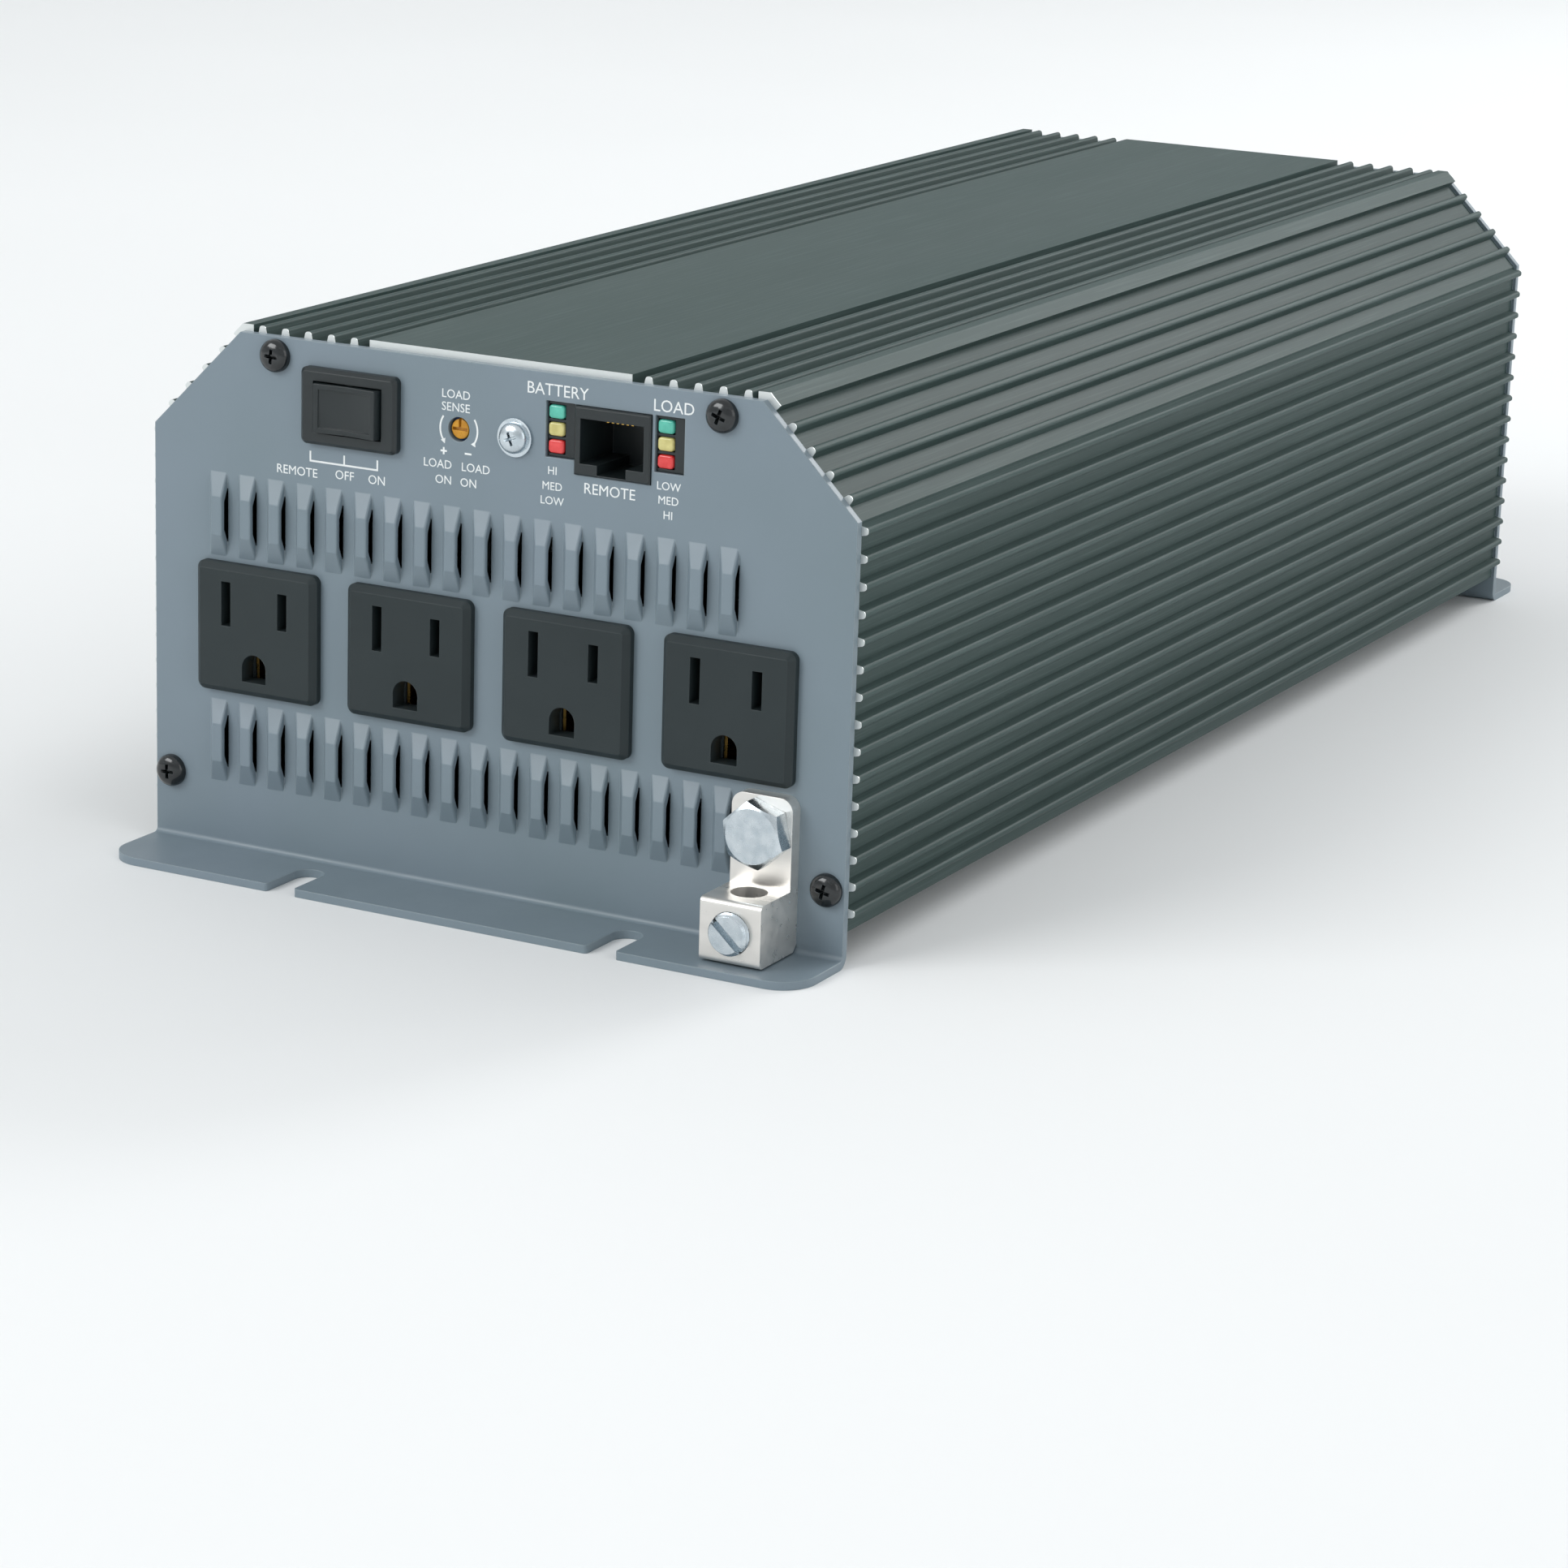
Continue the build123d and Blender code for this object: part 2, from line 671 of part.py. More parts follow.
def outlet(x_mid):
    """Snap-in outlet: bevelled frame, body behind the panel, three blade openings and their cavities."""
    with BuildPart() as body:
        slab(ac(), x_mid, outlet_z, outlet_w, outlet_h, outlet_proud)
        fillet(body.edges().filter_by(Axis.Y), outlet_corner)
        front = body.faces().sort_by(Axis.Y)[0].edges()
        chamfer(front, outlet_bevel)
        slab(ac(), x_mid, outlet_z, outlet_w - 2 * outlet_body_inset, outlet_h - 2 * outlet_body_inset,
             -outlet_depth)
        place = spot(ac(outlet_proud), x_mid, outlet_z)
        for (x, z), height in zip(contact_places, (neutral_h, hot_h)):
            slab(place, x, z, blade_slot, height, -outlet_skin, Mode.SUBTRACT)
        with BuildSketch(place) as earth:
            with Locations((0, blade_up - ground_down)):
                Circle(earth_r)
                Rectangle(2 * earth_r, earth_r, align=(Align.CENTER, Align.MAX))
        extrude(earth.sketch, amount=-outlet_skin, mode=Mode.SUBTRACT)
        cavity = place.offset(-outlet_skin)
        depth = outlet_depth + outlet_proud - outlet_skin
        for x, z in contact_places:
            slab(cavity, x, z, contact_room, neutral_h, -depth + outlet_rear, Mode.SUBTRACT)
            slab(cavity, x, z, contact_sheet + slip, contact_h + slip, -depth, Mode.SUBTRACT)
    return body


def contact(x_mid, x, z):
    """Sheet brass contact: two spring leaves joined at the back, and a tab out of the body."""
    place = spot(ac(outlet_proud - outlet_skin - slip), x_mid + x, outlet_z + z)
    depth = outlet_depth + outlet_proud - outlet_skin - outlet_rear - 2 * slip
    leaf = (contact_room - contact_sheet) / 2 - slip
    with BuildPart() as spring:
        for side in (-1, 1):
            slab(place, side * leaf, 0, contact_sheet, contact_h, -depth)
        slab(place.offset(-depth), 0, 0, 2 * leaf + contact_sheet, contact_h, contact_sheet)
        slab(place.offset(-depth), 0, 0, contact_sheet, contact_h, -outlet_rear - contact_tab)
    return spring.part


for i, x in enumerate(outlet_x):
    save(outlet(x), f"outlet_{i + 1}")
gather([contact(x_mid, x, z) for x_mid in outlet_x for x, z in contact_places], "outlet_contacts")

# ---------------------------------------------------------------- rocker switch
pivot = spot(ac(switch_proud - rocker_pivot), switch_x, switch_z)
window_w = 2 * (rocker_r + rocker_gap)
window_h = rocker_h + 2 * rocker_gap
with BuildPart() as switch_body:
    slab(ac(), switch_x, switch_z, switch_w, switch_h, switch_proud)
    fillet(switch_body.edges().filter_by(Axis.Y), switch_corner)
    chamfer(switch_body.faces().sort_by(Axis.Y)[0].edges(), switch_bevel)
    slab(ac(), switch_x, switch_z, switch_w - 2 * switch_body_inset, switch_h - 2 * switch_body_inset,
         -switch_depth)
    slab(ac(switch_proud), switch_x, switch_z, window_w, window_h, -switch_window, Mode.SUBTRACT)
    with BuildSketch(Plane.XY.offset(switch_z - axle_reach - run_gap)) as bore:
        with Locations((pivot.origin.X, pivot.origin.Y)):
            Circle(axle_r + run_gap)
    extrude(bore.sketch, amount=2 * (axle_reach + run_gap), mode=Mode.SUBTRACT)
    for x in tab_x:
        slab(ac(-switch_depth), switch_x + x, switch_z, tab_t + slip, tab_h + slip,
             switch_depth + switch_proud - switch_window, Mode.SUBTRACT)
save(switch_body, "switch_body")

with BuildPart() as switch_rocker:
    with BuildSketch(Plane.XY.offset(switch_z - rocker_h / 2)) as profile:
        with Locations((pivot.origin.X, pivot.origin.Y)):
            Circle(rocker_r)
        front = y_ac - switch_proud - rocker_proud
        rise = rocker_r * tan(radians(rocker_rake))
        with BuildLine():
            Polyline((switch_x, front), (switch_x + rocker_r, front - rise),
                     (switch_x + rocker_r, pivot.origin.Y + rocker_tail),
                     (switch_x - rocker_r, pivot.origin.Y + rocker_tail),
                     (switch_x - rocker_r, front - rise), close=True)
        make_face(mode=Mode.INTERSECT)
    extrude(amount=rocker_h)
    disc(Plane((pivot.origin.X, pivot.origin.Y, switch_z - axle_reach)), 0, 0, axle_r, 2 * axle_reach)
save(switch_rocker, "switch_rocker")

with BuildPart() as switch_tabs:
    for x in tab_x:
        slab(ac(-switch_depth - tab_length), switch_x + x, switch_z, tab_t, tab_h,
             tab_length + switch_depth + switch_proud - switch_window - slip)
save(switch_tabs, "switch_tabs")

# ---------------------------------------------------------------- control board and what it carries
behind = ac(-plate_t)
with BuildPart() as control_board:
    slab(behind, control_x, control_top - board_t / 2, control_w, board_t, -control_length)
    for x in (lamp_left, lamp_right):
        slab(ac(-plate_t), x, control_top, lamp_w, 2 * board_t, -slip, Mode.SUBTRACT)
save(control_board, "control_board")

with BuildPart() as board_bracket:
    slab(behind, panel_screw_x, (control_top + trim_z + panel_screw_r) / 2, bracket_w,
         trim_z + panel_screw_r - control_top, -bracket_t)
    slab(behind, panel_screw_x, control_top + bracket_t / 2, bracket_w, bracket_t, -bracket_foot)
    disc(behind, panel_screw_x, trim_z, panel_shank_r + run_gap, -bracket_t, Mode.SUBTRACT)
save(board_bracket, "board_bracket")
gather([pan_screw(spot(ac(), panel_screw_x, trim_z), panel_screw_r, panel_head_t, panel_shank_r,
                  plate_t + bracket_t + panel_tail, turn=20)], "panel_screw")

with BuildPart() as trimmer_body:
    slab(ac(-plate_t - trim_set_back), trim_x, (trim_z + trim_body / 2 + control_top) / 2, trim_body,
         trim_z + trim_body / 2 - control_top, -trim_depth)
    disc(ac(-plate_t - trim_set_back), trim_x, trim_z, trim_dial_r + run_gap, -trim_bore, Mode.SUBTRACT)
save(trimmer_body, "trimmer_body")

with BuildPart() as trimmer_dial:
    disc(ac(-trim_recess), trim_x, trim_z, trim_dial_r, -plate_t - trim_set_back - trim_bore
         + trim_recess + slip)
    slab(ac(-trim_recess), trim_x, trim_z, 2 * trim_dial_r, trim_slot, -trim_slot, Mode.SUBTRACT)
    slab(ac(-trim_recess), trim_x, trim_z + trim_dial_r / 2, trim_slot, trim_dial_r, -trim_slot,
         Mode.SUBTRACT)
save(trimmer_dial, "trimmer_dial")


def lamp_holder(x_mid):
    """Indicator block in its panel window, with three pockets for the lenses."""
    with BuildPart() as holder:
        slab(ac(-lamp_recess), x_mid, lamp_z, lamp_w, lamp_h, -plate_t - lamp_depth + lamp_recess)
        slab(behind.offset(-slip), x_mid, (control_top + lamp_z) / 2, lamp_w, lamp_z - control_top,
             -lamp_depth + slip)
        for k in (-1, 0, 1):
            slab(ac(-lamp_recess), x_mid + lens_shift, lamp_z + k * lamp_pitch, lens_w + slip,
                 lens_h + slip, -lens_seat, Mode.SUBTRACT)
    return holder.part


def lens(x_mid, row):
    """Indicator lens, standing a little out of its pocket."""
    with BuildPart() as lamp:
        slab(ac(-lamp_recess - lens_seat), x_mid + lens_shift, lamp_z + row * lamp_pitch, lens_w, lens_h,
             lens_seat + lens_proud)
        edges = lamp.faces().sort_by(Axis.Y)[0].edges()
        fillet(edges, lens_proud * 0.6)
    return lamp.part


gather([lamp_holder(x) for x in (lamp_left, lamp_right)], "lamp_holders")
for row, colour in ((1, "green"), (0, "yellow"), (-1, "red")):
    gather([lens(x, row) for x in (lamp_left, lamp_right)], f"lamps_{colour}")

with BuildPart() as remote_jack:
    slab(ac(jack_proud), jack_x, jack_z, jack_w, jack_h, -jack_depth)
    chamfer(remote_jack.faces().sort_by(Axis.Y)[0].edges(), jack_edge)
    slab(ac(jack_proud), jack_x, jack_z, jack_w - 2 * jack_wall, jack_h - 2 * jack_wall - jack_key,
         -jack_bore, Mode.SUBTRACT)
    slab(ac(jack_proud), jack_x, jack_z - jack_h / 2 + jack_wall + jack_key / 2, jack_key_w, 2 * jack_key,
         -jack_bore, Mode.SUBTRACT)
    for k in range(jack_pins):
        x = jack_x + (k - (jack_pins - 1) / 2) * jack_pin_pitch
        slab(ac(jack_proud - jack_bore), x, jack_pin_z, jack_pin_t + slip, jack_pin_t + slip,
             -jack_depth + jack_bore, Mode.SUBTRACT)
save(remote_jack, "remote_jack")

with BuildPart() as jack_contacts:
    for k in range(jack_pins):
        x = jack_x + (k - (jack_pins - 1) / 2) * jack_pin_pitch
        slab(ac(jack_proud - jack_pin_front), x, jack_pin_z, jack_pin_t, jack_pin_t,
             -jack_depth - jack_pin_tail + jack_pin_front)
save(jack_contacts, "jack_contacts")

# ---------------------------------------------------------------- ground lug
lug_mid = lug_low + lug_block_h / 2
with BuildPart() as ground_lug:
    slab(ac(), lug_x, (lug_low + lug_top) / 2, lug_w, lug_top - lug_low, lug_tongue_t)
    fillet(ground_lug.edges().filter_by(Axis.Y).group_by(Axis.Z)[-1], lug_round)
    slab(ac(), lug_x, lug_mid, lug_w, lug_block_h, lug_block_d)
    fillet(ground_lug.edges().filter_by(Axis.X).group_by(Axis.Y)[0], lug_edge_round)
    heel = ground_lug.edges().filter_by(Axis.X).sort_by_distance((lug_x, y_ac, lug_low))[0]
    chamfer(heel, bend_inner + slip)
    disc(Plane((lug_x, y_ac - lug_bore_out, lug_low)), 0, 0, lug_bore_r, lug_block_h, Mode.SUBTRACT)
    disc(ac(), lug_x, lug_bolt_z, lug_bolt_r + run_gap, lug_tongue_t, Mode.SUBTRACT)
    disc(ac(lug_block_d), lug_x, lug_screw_z, lug_screw_r + run_gap,
         lug_bore_out - lug_block_d, Mode.SUBTRACT)
save(ground_lug, "ground_lug")

lug_spot = spot(ac(lug_tongue_t), lug_x, lug_bolt_z)
with BuildPart() as ground_bolt:
    hexagon(lug_spot, 0, 0, lug_hex, lug_hex_t, turn=12)
    with BuildSketch(lug_spot) as crown:
        Circle(lug_hex / 2 * lug_crown)
    extrude(crown.sketch, amount=lug_hex_t, taper=-lug_crown_taper, mode=Mode.INTERSECT)
    disc(lug_spot, 0, 0, lug_bolt_r, -lug_tongue_t - plate_t - lug_nut_t - lug_tail)
save(ground_bolt, "ground_bolt")
with BuildPart() as ground_nut:
    nut_seat = spot(ac(-plate_t - lug_nut_t), lug_x, lug_bolt_z)
    hexagon(nut_seat, 0, 0, lug_hex, lug_nut_t, turn=25)
    disc(nut_seat, 0, 0, lug_bolt_r + run_gap, lug_nut_t, Mode.SUBTRACT)
save(ground_nut, "ground_nut")
with BuildPart() as ground_clamp_screw:
    clamp_tip = spot(ac(lug_block_d + lug_screw_out), lug_x, lug_screw_z)
    disc(clamp_tip, 0, 0, lug_screw_r, -lug_screw_len)
    chamfer(ground_clamp_screw.edges().filter_by(GeomType.CIRCLE), lug_screw_edge)
    slab(clamp_tip, 0, 0, 2 * lug_screw_r, lug_screw_slot, -lug_screw_slot * 1.6, Mode.SUBTRACT)
save(ground_clamp_screw, "ground_clamp_screw")

# ---------------------------------------------------------------- fan and its guard
fan_face = dc(-plate_t)
fan_middle = spot(fan_face, 0, fan_z)
with BuildPart() as fan_frame:
    with BuildSketch(fan_middle):
        RectangleRounded(fan_size, fan_size, fan_corner)
    extrude(amount=-fan_depth)
    with BuildSketch(fan_middle.offset(-fan_flange)) as waist:
        Rectangle(fan_size + slip, fan_size + slip)
        Circle(fan_duct_r + fan_wall, mode=Mode.SUBTRACT)
        with GridLocations(fan_holes, fan_holes, 2, 2):
            Circle(fan_boss_r, mode=Mode.SUBTRACT)
    extrude(waist.sketch, amount=-(fan_depth - 2 * fan_flange), mode=Mode.SUBTRACT)
    disc(fan_middle, 0, 0, fan_duct_r, -fan_depth, Mode.SUBTRACT)
    for x, z in fan_corners:
        disc(fan_face, x, z, fan_bolt_r + slip, -fan_depth, Mode.SUBTRACT)
    mount = fan_middle.offset(-fan_depth + fan_mount_t)
    with BuildSketch(mount) as spider:
        Circle(fan_mount_r)
        for turn in (20, 110):
            Rectangle(2 * fan_duct_r + fan_wall, fan_strut_w, rotation=turn)
    extrude(spider.sketch, amount=-fan_mount_t)
save(fan_frame, "fan_frame")

with BuildPart() as fan_motor:
    tube_length = fan_depth - fan_mount_t - fan_hub_set - fan_hub_wall - fan_rotor_gap
    stator_length = tube_length - fan_rotor_gap
    disc(mount, 0, 0, fan_stator_r, stator_length)
    disc(mount.offset(fan_rotor_gap), 0, 0, fan_stator_r, stator_length - fan_rotor_gap, Mode.SUBTRACT)
    disc(mount, 0, 0, fan_tube_r, tube_length)
    with BuildSketch(mount.offset(fan_rotor_gap)) as poles:
        for turn in range(0, 180, 45):
            Rectangle(2 * fan_stator_r - fan_wall, fan_strut_w, rotation=turn)
    extrude(poles.sketch, amount=stator_length - 2 * fan_rotor_gap)
    disc(mount, 0, 0, fan_shaft_r + run_gap, tube_length, Mode.SUBTRACT)
save(fan_motor, "fan_motor")

blade_mid = y_dc - plate_t - fan_hub_set - fan_hub_depth / 2
with BuildPart() as blade:
    for height, sweep_x in ((blade_root_r, blade_root_sweep), (fan_duct_r, blade_tip_sweep)):
        with BuildSketch(Plane.XY.offset(fan_z + height)):
            chord = ThreePointArc((-sweep_x / 2, blade_mid - blade_axial / 2),
                                  (-blade_bow, blade_mid + blade_bow),
                                  (sweep_x / 2, blade_mid + blade_axial / 2), mode=Mode.PRIVATE)
            SlotArc(chord, blade_t)
    loft()

fan_axis = Axis(fan_middle.origin, (0, 1, 0))
hub_face = fan_middle.offset(-fan_hub_set)
with BuildPart() as fan_impeller:
    disc(hub_face, 0, 0, fan_hub_r, -fan_hub_depth)
    fillet(fan_impeller.edges().filter_by(GeomType.CIRCLE).sort_by(Axis.Y)[-1], fan_hub_wall)
    disc(hub_face.offset(-fan_hub_wall), 0, 0, fan_hub_r - fan_hub_wall, -fan_hub_depth, Mode.SUBTRACT)
    for k in range(fan_blades):
        add(blade.part.rotate(fan_axis, 360 / fan_blades * k))
    with BuildSketch(fan_middle) as sweep_circle:
        Circle(fan_tip_r)
    extrude(sweep_circle.sketch, amount=-fan_depth, mode=Mode.INTERSECT)
    disc(hub_face.offset(-fan_hub_wall / 2), 0, 0, fan_shaft_r,
         -(fan_depth - fan_mount_t - fan_hub_set - fan_hub_wall / 2 - 0.5))
save(fan_impeller, "fan_impeller")


def guard_point(x, z, out):
    """Point of the guard, from the fan's middle and out from the plate."""
    return Vector(x, y_dc + out, fan_z + z)


def guard_bar(side):
    """One bent spoke: from an upper corner eye to the middle and on to the lower one."""
    eye = fan_holes / 2 - guard_eye_r / sqrt(2)
    upper = [guard_point(side * eye, eye, guard_wire_r),
             guard_point(side * guard_foot, guard_foot, guard_wire_r),
             guard_point(side * guard_rise, guard_rise, guard_spoke)]
    lower = [Vector(p.X, p.Y, 2 * fan_z - p.Z) for p in reversed(upper)]
    with BuildPart() as bar:
        with BuildLine() as path:
            FilletPolyline(*upper, guard_point(side * guard_vertex, 0, guard_spoke), *lower,
                           radius=[guard_step_round, guard_step_round, guard_vertex_round,
                                   guard_step_round, guard_step_round])
        with BuildSketch(Plane(path.line @ 0, z_dir=path.line % 0)):
            Circle(guard_wire_r)
        sweep(path=path.line)
    return bar.part


with BuildPart() as fan_guard:
    for radius in guard_rings:
        with Locations(spot(dc(guard_stand), 0, fan_z)):
            Torus(radius, guard_wire_r)
    for x, z in fan_corners:
        with Locations(spot(dc(guard_wire_r), x, z)):
            Torus(guard_eye_r, guard_wire_r)
    for side in (-1, 1):
        add(guard_bar(side))
save(fan_guard, "fan_guard")

eye_top = 2 * guard_wire_r
gather([pan_screw(spot(dc(eye_top), x, z), fan_head_r, fan_head_t, fan_bolt_r - run_gap,
                  eye_top + plate_t + fan_depth + fan_nut_t + 1.0, turn=x + z / 3)
        for x, z in fan_corners], "fan_screws")
gather([nut(spot(dc(-plate_t - fan_depth - fan_nut_t), x, z), fan_nut_flats, fan_nut_t, fan_bolt_r)
        for x, z in fan_corners], "fan_nuts")

# ---------------------------------------------------------------- DC terminals
block_top = term_ledge - term_ledge_t - slip


def terminal_cover(side, marked):
    """Moulded terminal box: open-topped pocket over a wire entry, and a screw tab below."""
    x = side * term_x
    with BuildPart() as cover:
        with BuildSketch(dc()) as foot:
            with Locations((x, (term_box_low + term_top) / 2)):
                Rectangle(2 * term_half, term_top - term_box_low)
        extrude(foot.sketch, amount=term_depth, taper=term_draft)
        nose = cover.edges().filter_by(Axis.X).sort_by(lambda edge: edge.center().Y + edge.center().Z)
        fillet(nose[-1], term_nose_round)
        rims = cover.faces().sort_by(Axis.X)
        fillet([edge for edge in rims[0].edges() + rims[-1].edges() if edge.center().Y > y_dc + slip],
               term_edge_round)
        with BuildSketch(dc()) as tab:
            with Locations((x, term_tab_low)):
                Rectangle(2 * term_half, term_window_low - term_tab_low, align=(Align.CENTER, Align.MIN))
            fillet(tab.vertices().group_by(Axis.Y)[0], term_tab_round)
        extrude(tab.sketch, amount=term_back)
        slab(dc(term_back), x, (term_ledge + term_top + term_nose_round) / 2, 2 * term_pocket_half,
             term_top + term_nose_round - term_ledge, term_depth, Mode.SUBTRACT)
        slab(dc(), x, (block_low + block_top) / 2, 2 * (block_half + slip),
             block_top - block_low + 2 * slip, block_front + slip, Mode.SUBTRACT)
        slab(dc(), x, (block_low + tongue_top) / 2, 2 * (block_half + slip),
             tongue_top - block_low + 2 * slip, block_set + tongue_t + slip, Mode.SUBTRACT)
        slab(dc(), x, (term_window_low + term_window_high) / 2, 2 * term_window_half,
             term_window_high - term_window_low, term_back, Mode.SUBTRACT)
        disc(dc(term_depth), x, wire_z, wire_r + term_ring, block_front - term_depth, Mode.SUBTRACT)
        rim = cover.faces().sort_by(Axis.Y)[-1].edges().filter_by(GeomType.CIRCLE)
        chamfer(rim, term_sink)
        slab(Plane((-x, y_dc + clamp_back, term_ledge)), 0, 0, 2 * (clamp_r + 3 * slip),
             2 * (clamp_r + 5 * slip), -term_ledge_t, Mode.SUBTRACT)
        hexagon(dc(term_back), x, term_screw_z, term_recess, -term_recess_depth, Mode.SUBTRACT, 30)
        disc(dc(), x, term_screw_z, term_screw_r + slip, term_back, Mode.SUBTRACT)
        if marked:
            mark_x = x + term_mark_x
            slab(dc(term_depth), mark_x, term_mark_z, term_mark, term_mark_w, term_mark_t)
            slab(dc(term_depth), mark_x, term_mark_z, term_mark_w, term_mark, term_mark_t)
    return cover.part


def terminal_lug(side):
    """Box lug: wire bore from the front, threaded clamp hole from above, bolted tongue."""
    x = side * term_x
    with BuildPart() as lug:
        slab(dc(block_set), x, (block_low + block_top) / 2, 2 * block_half, block_top - block_low,
             block_front - block_set)
        chamfer(lug.edges().filter_by(Axis.X), lug_screw_edge)
        slab(dc(block_set), x, (block_low + tongue_top) / 2, 2 * block_half, tongue_top - block_low,
             tongue_t)
        disc(dc(block_front), x, wire_z, wire_r, block_set + tongue_t - block_front, Mode.SUBTRACT)
        thread_low = clamp_low - slip
        disc(Plane((-x, y_dc + clamp_back, thread_low)), 0, 0, clamp_r + run_gap,
             block_top - thread_low, Mode.SUBTRACT)
        disc(dc(block_set), x, term_bolt_z, term_bolt_r + run_gap, tongue_t, Mode.SUBTRACT)
    return lug.part


def clamp_screw(side):
    """Socket set screw that clamps the cable in its lug."""
    with BuildPart() as screw:
        foot = Plane((-side * term_x, y_dc + clamp_back, clamp_low))
        disc(foot, 0, 0, clamp_r, clamp_length)
        chamfer(screw.edges().filter_by(GeomType.CIRCLE), lug_screw_edge)
        hexagon(foot.offset(clamp_length), 0, 0, clamp_socket, -clamp_socket, Mode.SUBTRACT, 10)
    return screw.part


def bus_bar(side):
    """Copper strip from a lug's bolt, past the fan, down to the board."""
    lug_side = y_dc - plate_t - bus_gap
    drop = board_back - bus_drop
    with BuildPart() as bar:
        with BuildSketch(Plane.YZ.offset(-side * term_x - bus_half)) as strip:
            with BuildLine():
                Polyline((lug_side, bus_low), (lug_side, bus_high), (lug_side - bus_t, bus_high),
                         (lug_side - bus_t, bus_low + bus_t), (drop - bus_t, bus_low + bus_t),
                         (drop - bus_t, board_top + bus_t), (drop - bus_foot, board_top + bus_t),
                         (drop - bus_foot, board_top), (drop, board_top), (drop, bus_low), close=True)
            make_face()
        extrude(amount=2 * bus_half)
        disc(dc(-plate_t - bus_gap), side * term_x, term_bolt_z, term_bolt_r + run_gap, -bus_t,
             Mode.SUBTRACT)
    return bar.part


for side, pole in ((-1, "negative"), (1, "positive")):
    gather([terminal_cover(side, side > 0)], f"terminal_cover_{pole}")
    gather([terminal_lug(side)], f"terminal_lug_{pole}")
    gather([clamp_screw(side)], f"clamp_screw_{pole}")
    gather([bus_bar(side)], f"bus_bar_{pole}")
gather([pan_screw(spot(dc(term_back - term_recess_depth), side * term_x, term_screw_z), term_head_r,
                  screw_head_t, term_screw_r, screw_length, turn=25 * side) for side in (-1, 1)],
       "terminal_cover_screws")
bolt_length = block_set + tongue_t + plate_t + bus_gap + bus_t + term_nut_t + 1.0
gather([pan_screw(spot(dc(block_set + tongue_t), side * term_x, term_bolt_z), term_bolt_head_r,
                  term_bolt_head_t, term_bolt_r, bolt_length, turn=40 * side) for side in (-1, 1)],
       "lug_bolts")
gather([nut(spot(dc(-plate_t - bus_gap - bus_t - term_nut_t), side * term_x, term_bolt_z),
            term_nut_flats, term_nut_t, term_bolt_r + run_gap) for side in (-1, 1)], "lug_nuts")

# ---------------------------------------------------------------- inside the case
with BuildPart() as main_board:
    slab(Plane.XY.offset(board_low), 0, (board_front + board_back) / 2, 2 * board_half,
         board_back - board_front, board_t)
    for y in standoff_y:
        for x in standoff_x:
            disc(Plane.XY.offset(board_low), x, y, board_screw_r + run_gap, board_t, Mode.SUBTRACT)
save(main_board, "main_board")


def standoff(x, y):
    """Hexagonal spacer between the base plate and the board."""
    with BuildPart() as post:
        seat = Plane((x, y, base_top))
        hexagon(seat, 0, 0, standoff_flats, standoff_h)
        disc(seat, 0, 0, board_screw_r + run_gap, standoff_h, Mode.SUBTRACT)
    return post.part


gather([standoff(x, y) for y in standoff_y for x in standoff_x], "standoffs")
gather([pan_screw(Plane((x, y, board_top)), board_head_r, board_head_t, board_screw_r,
                  board_t + standoff_h + base_t, turn=x + y) for y in standoff_y for x in standoff_x],
       "board_screws")

core_y = board_back - core_place
core_x = [core_pitch * (i - (core_count - 1) / 2) for i in range(core_count)]
window_x = core_leg / 2 + core_window_w / 2


def transformer_core(x):
    """Ferrite core with a window on each side of its middle leg."""
    with BuildPart() as core:
        slab(Plane.XY.offset(board_top), x, core_y, core_w, core_d, core_h)
        for side in (-1, 1):
            slab(Plane.XZ.offset(-core_y - core_d / 2), x + side * window_x, board_top + core_h / 2,
                 core_window_w, core_window_h, core_d, Mode.SUBTRACT)
    return core.part


def transformer_winding(x):
    """Taped winding round the middle leg."""
    with BuildPart() as coil:
        low = Plane.XY.offset(board_top + (core_h - core_window_h) / 2 + slip)
        tall = core_window_h - 2 * slip
        slab(low, x, core_y, 2 * (core_leg / 2 + core_window_w - slip), core_d + 2 * winding_reach, tall)
        fillet(coil.edges().filter_by(Axis.Z), winding_reach / 2)
        slab(low, x, core_y, core_leg + 2 * slip, core_d + 2 * slip, tall, Mode.SUBTRACT)
    return coil.part


gather([transformer_core(x) for x in core_x], "transformer_cores")
gather([transformer_winding(x) for x in core_x], "transformer_windings")

with BuildPart() as output_choke:
    with Locations((0, board_front + choke_place, board_top + choke_wire_r)):
        Torus(choke_r, choke_wire_r)
save(output_choke, "output_choke")


def capacitor(x, y, radius, height):
    """Electrolytic can with a rounded rim."""
    with BuildPart() as can:
        disc(Plane.XY.offset(board_top), x, y, radius, height)
        fillet(can.edges().filter_by(GeomType.CIRCLE).sort_by(Axis.Z)[-1], cap_rim)
    return can.part


gather([capacitor(cap_pitch * (i - (cap_count - 1) / 2), board_back - cap_place, cap_r, cap_h)
        for i in range(cap_count)], "input_capacitors")
gather([capacitor(side * (bus_cap_r + bus_cap_gap / 2), board_front + bus_cap_place, bus_cap_r, bus_cap_h)
        for side in (-1, 1)], "bus_capacitors")

bar_x = wall_inside - slip / 2 - heat_bar_t / 2
dc_bar_y = board_back - bar_end - dc_bar_length / 2
ac_bar_y = board_front + bar_end + ac_bar_length / 2
with BuildPart() as heat_bars:
    for side in (-1, 1):
        for y, length in ((dc_bar_y, dc_bar_length), (ac_bar_y, ac_bar_length)):
            slab(Plane.XY.offset(heat_bar_low), side * bar_x, y, heat_bar_t, length, heat_bar_h)
save(heat_bars, "heat_bars")


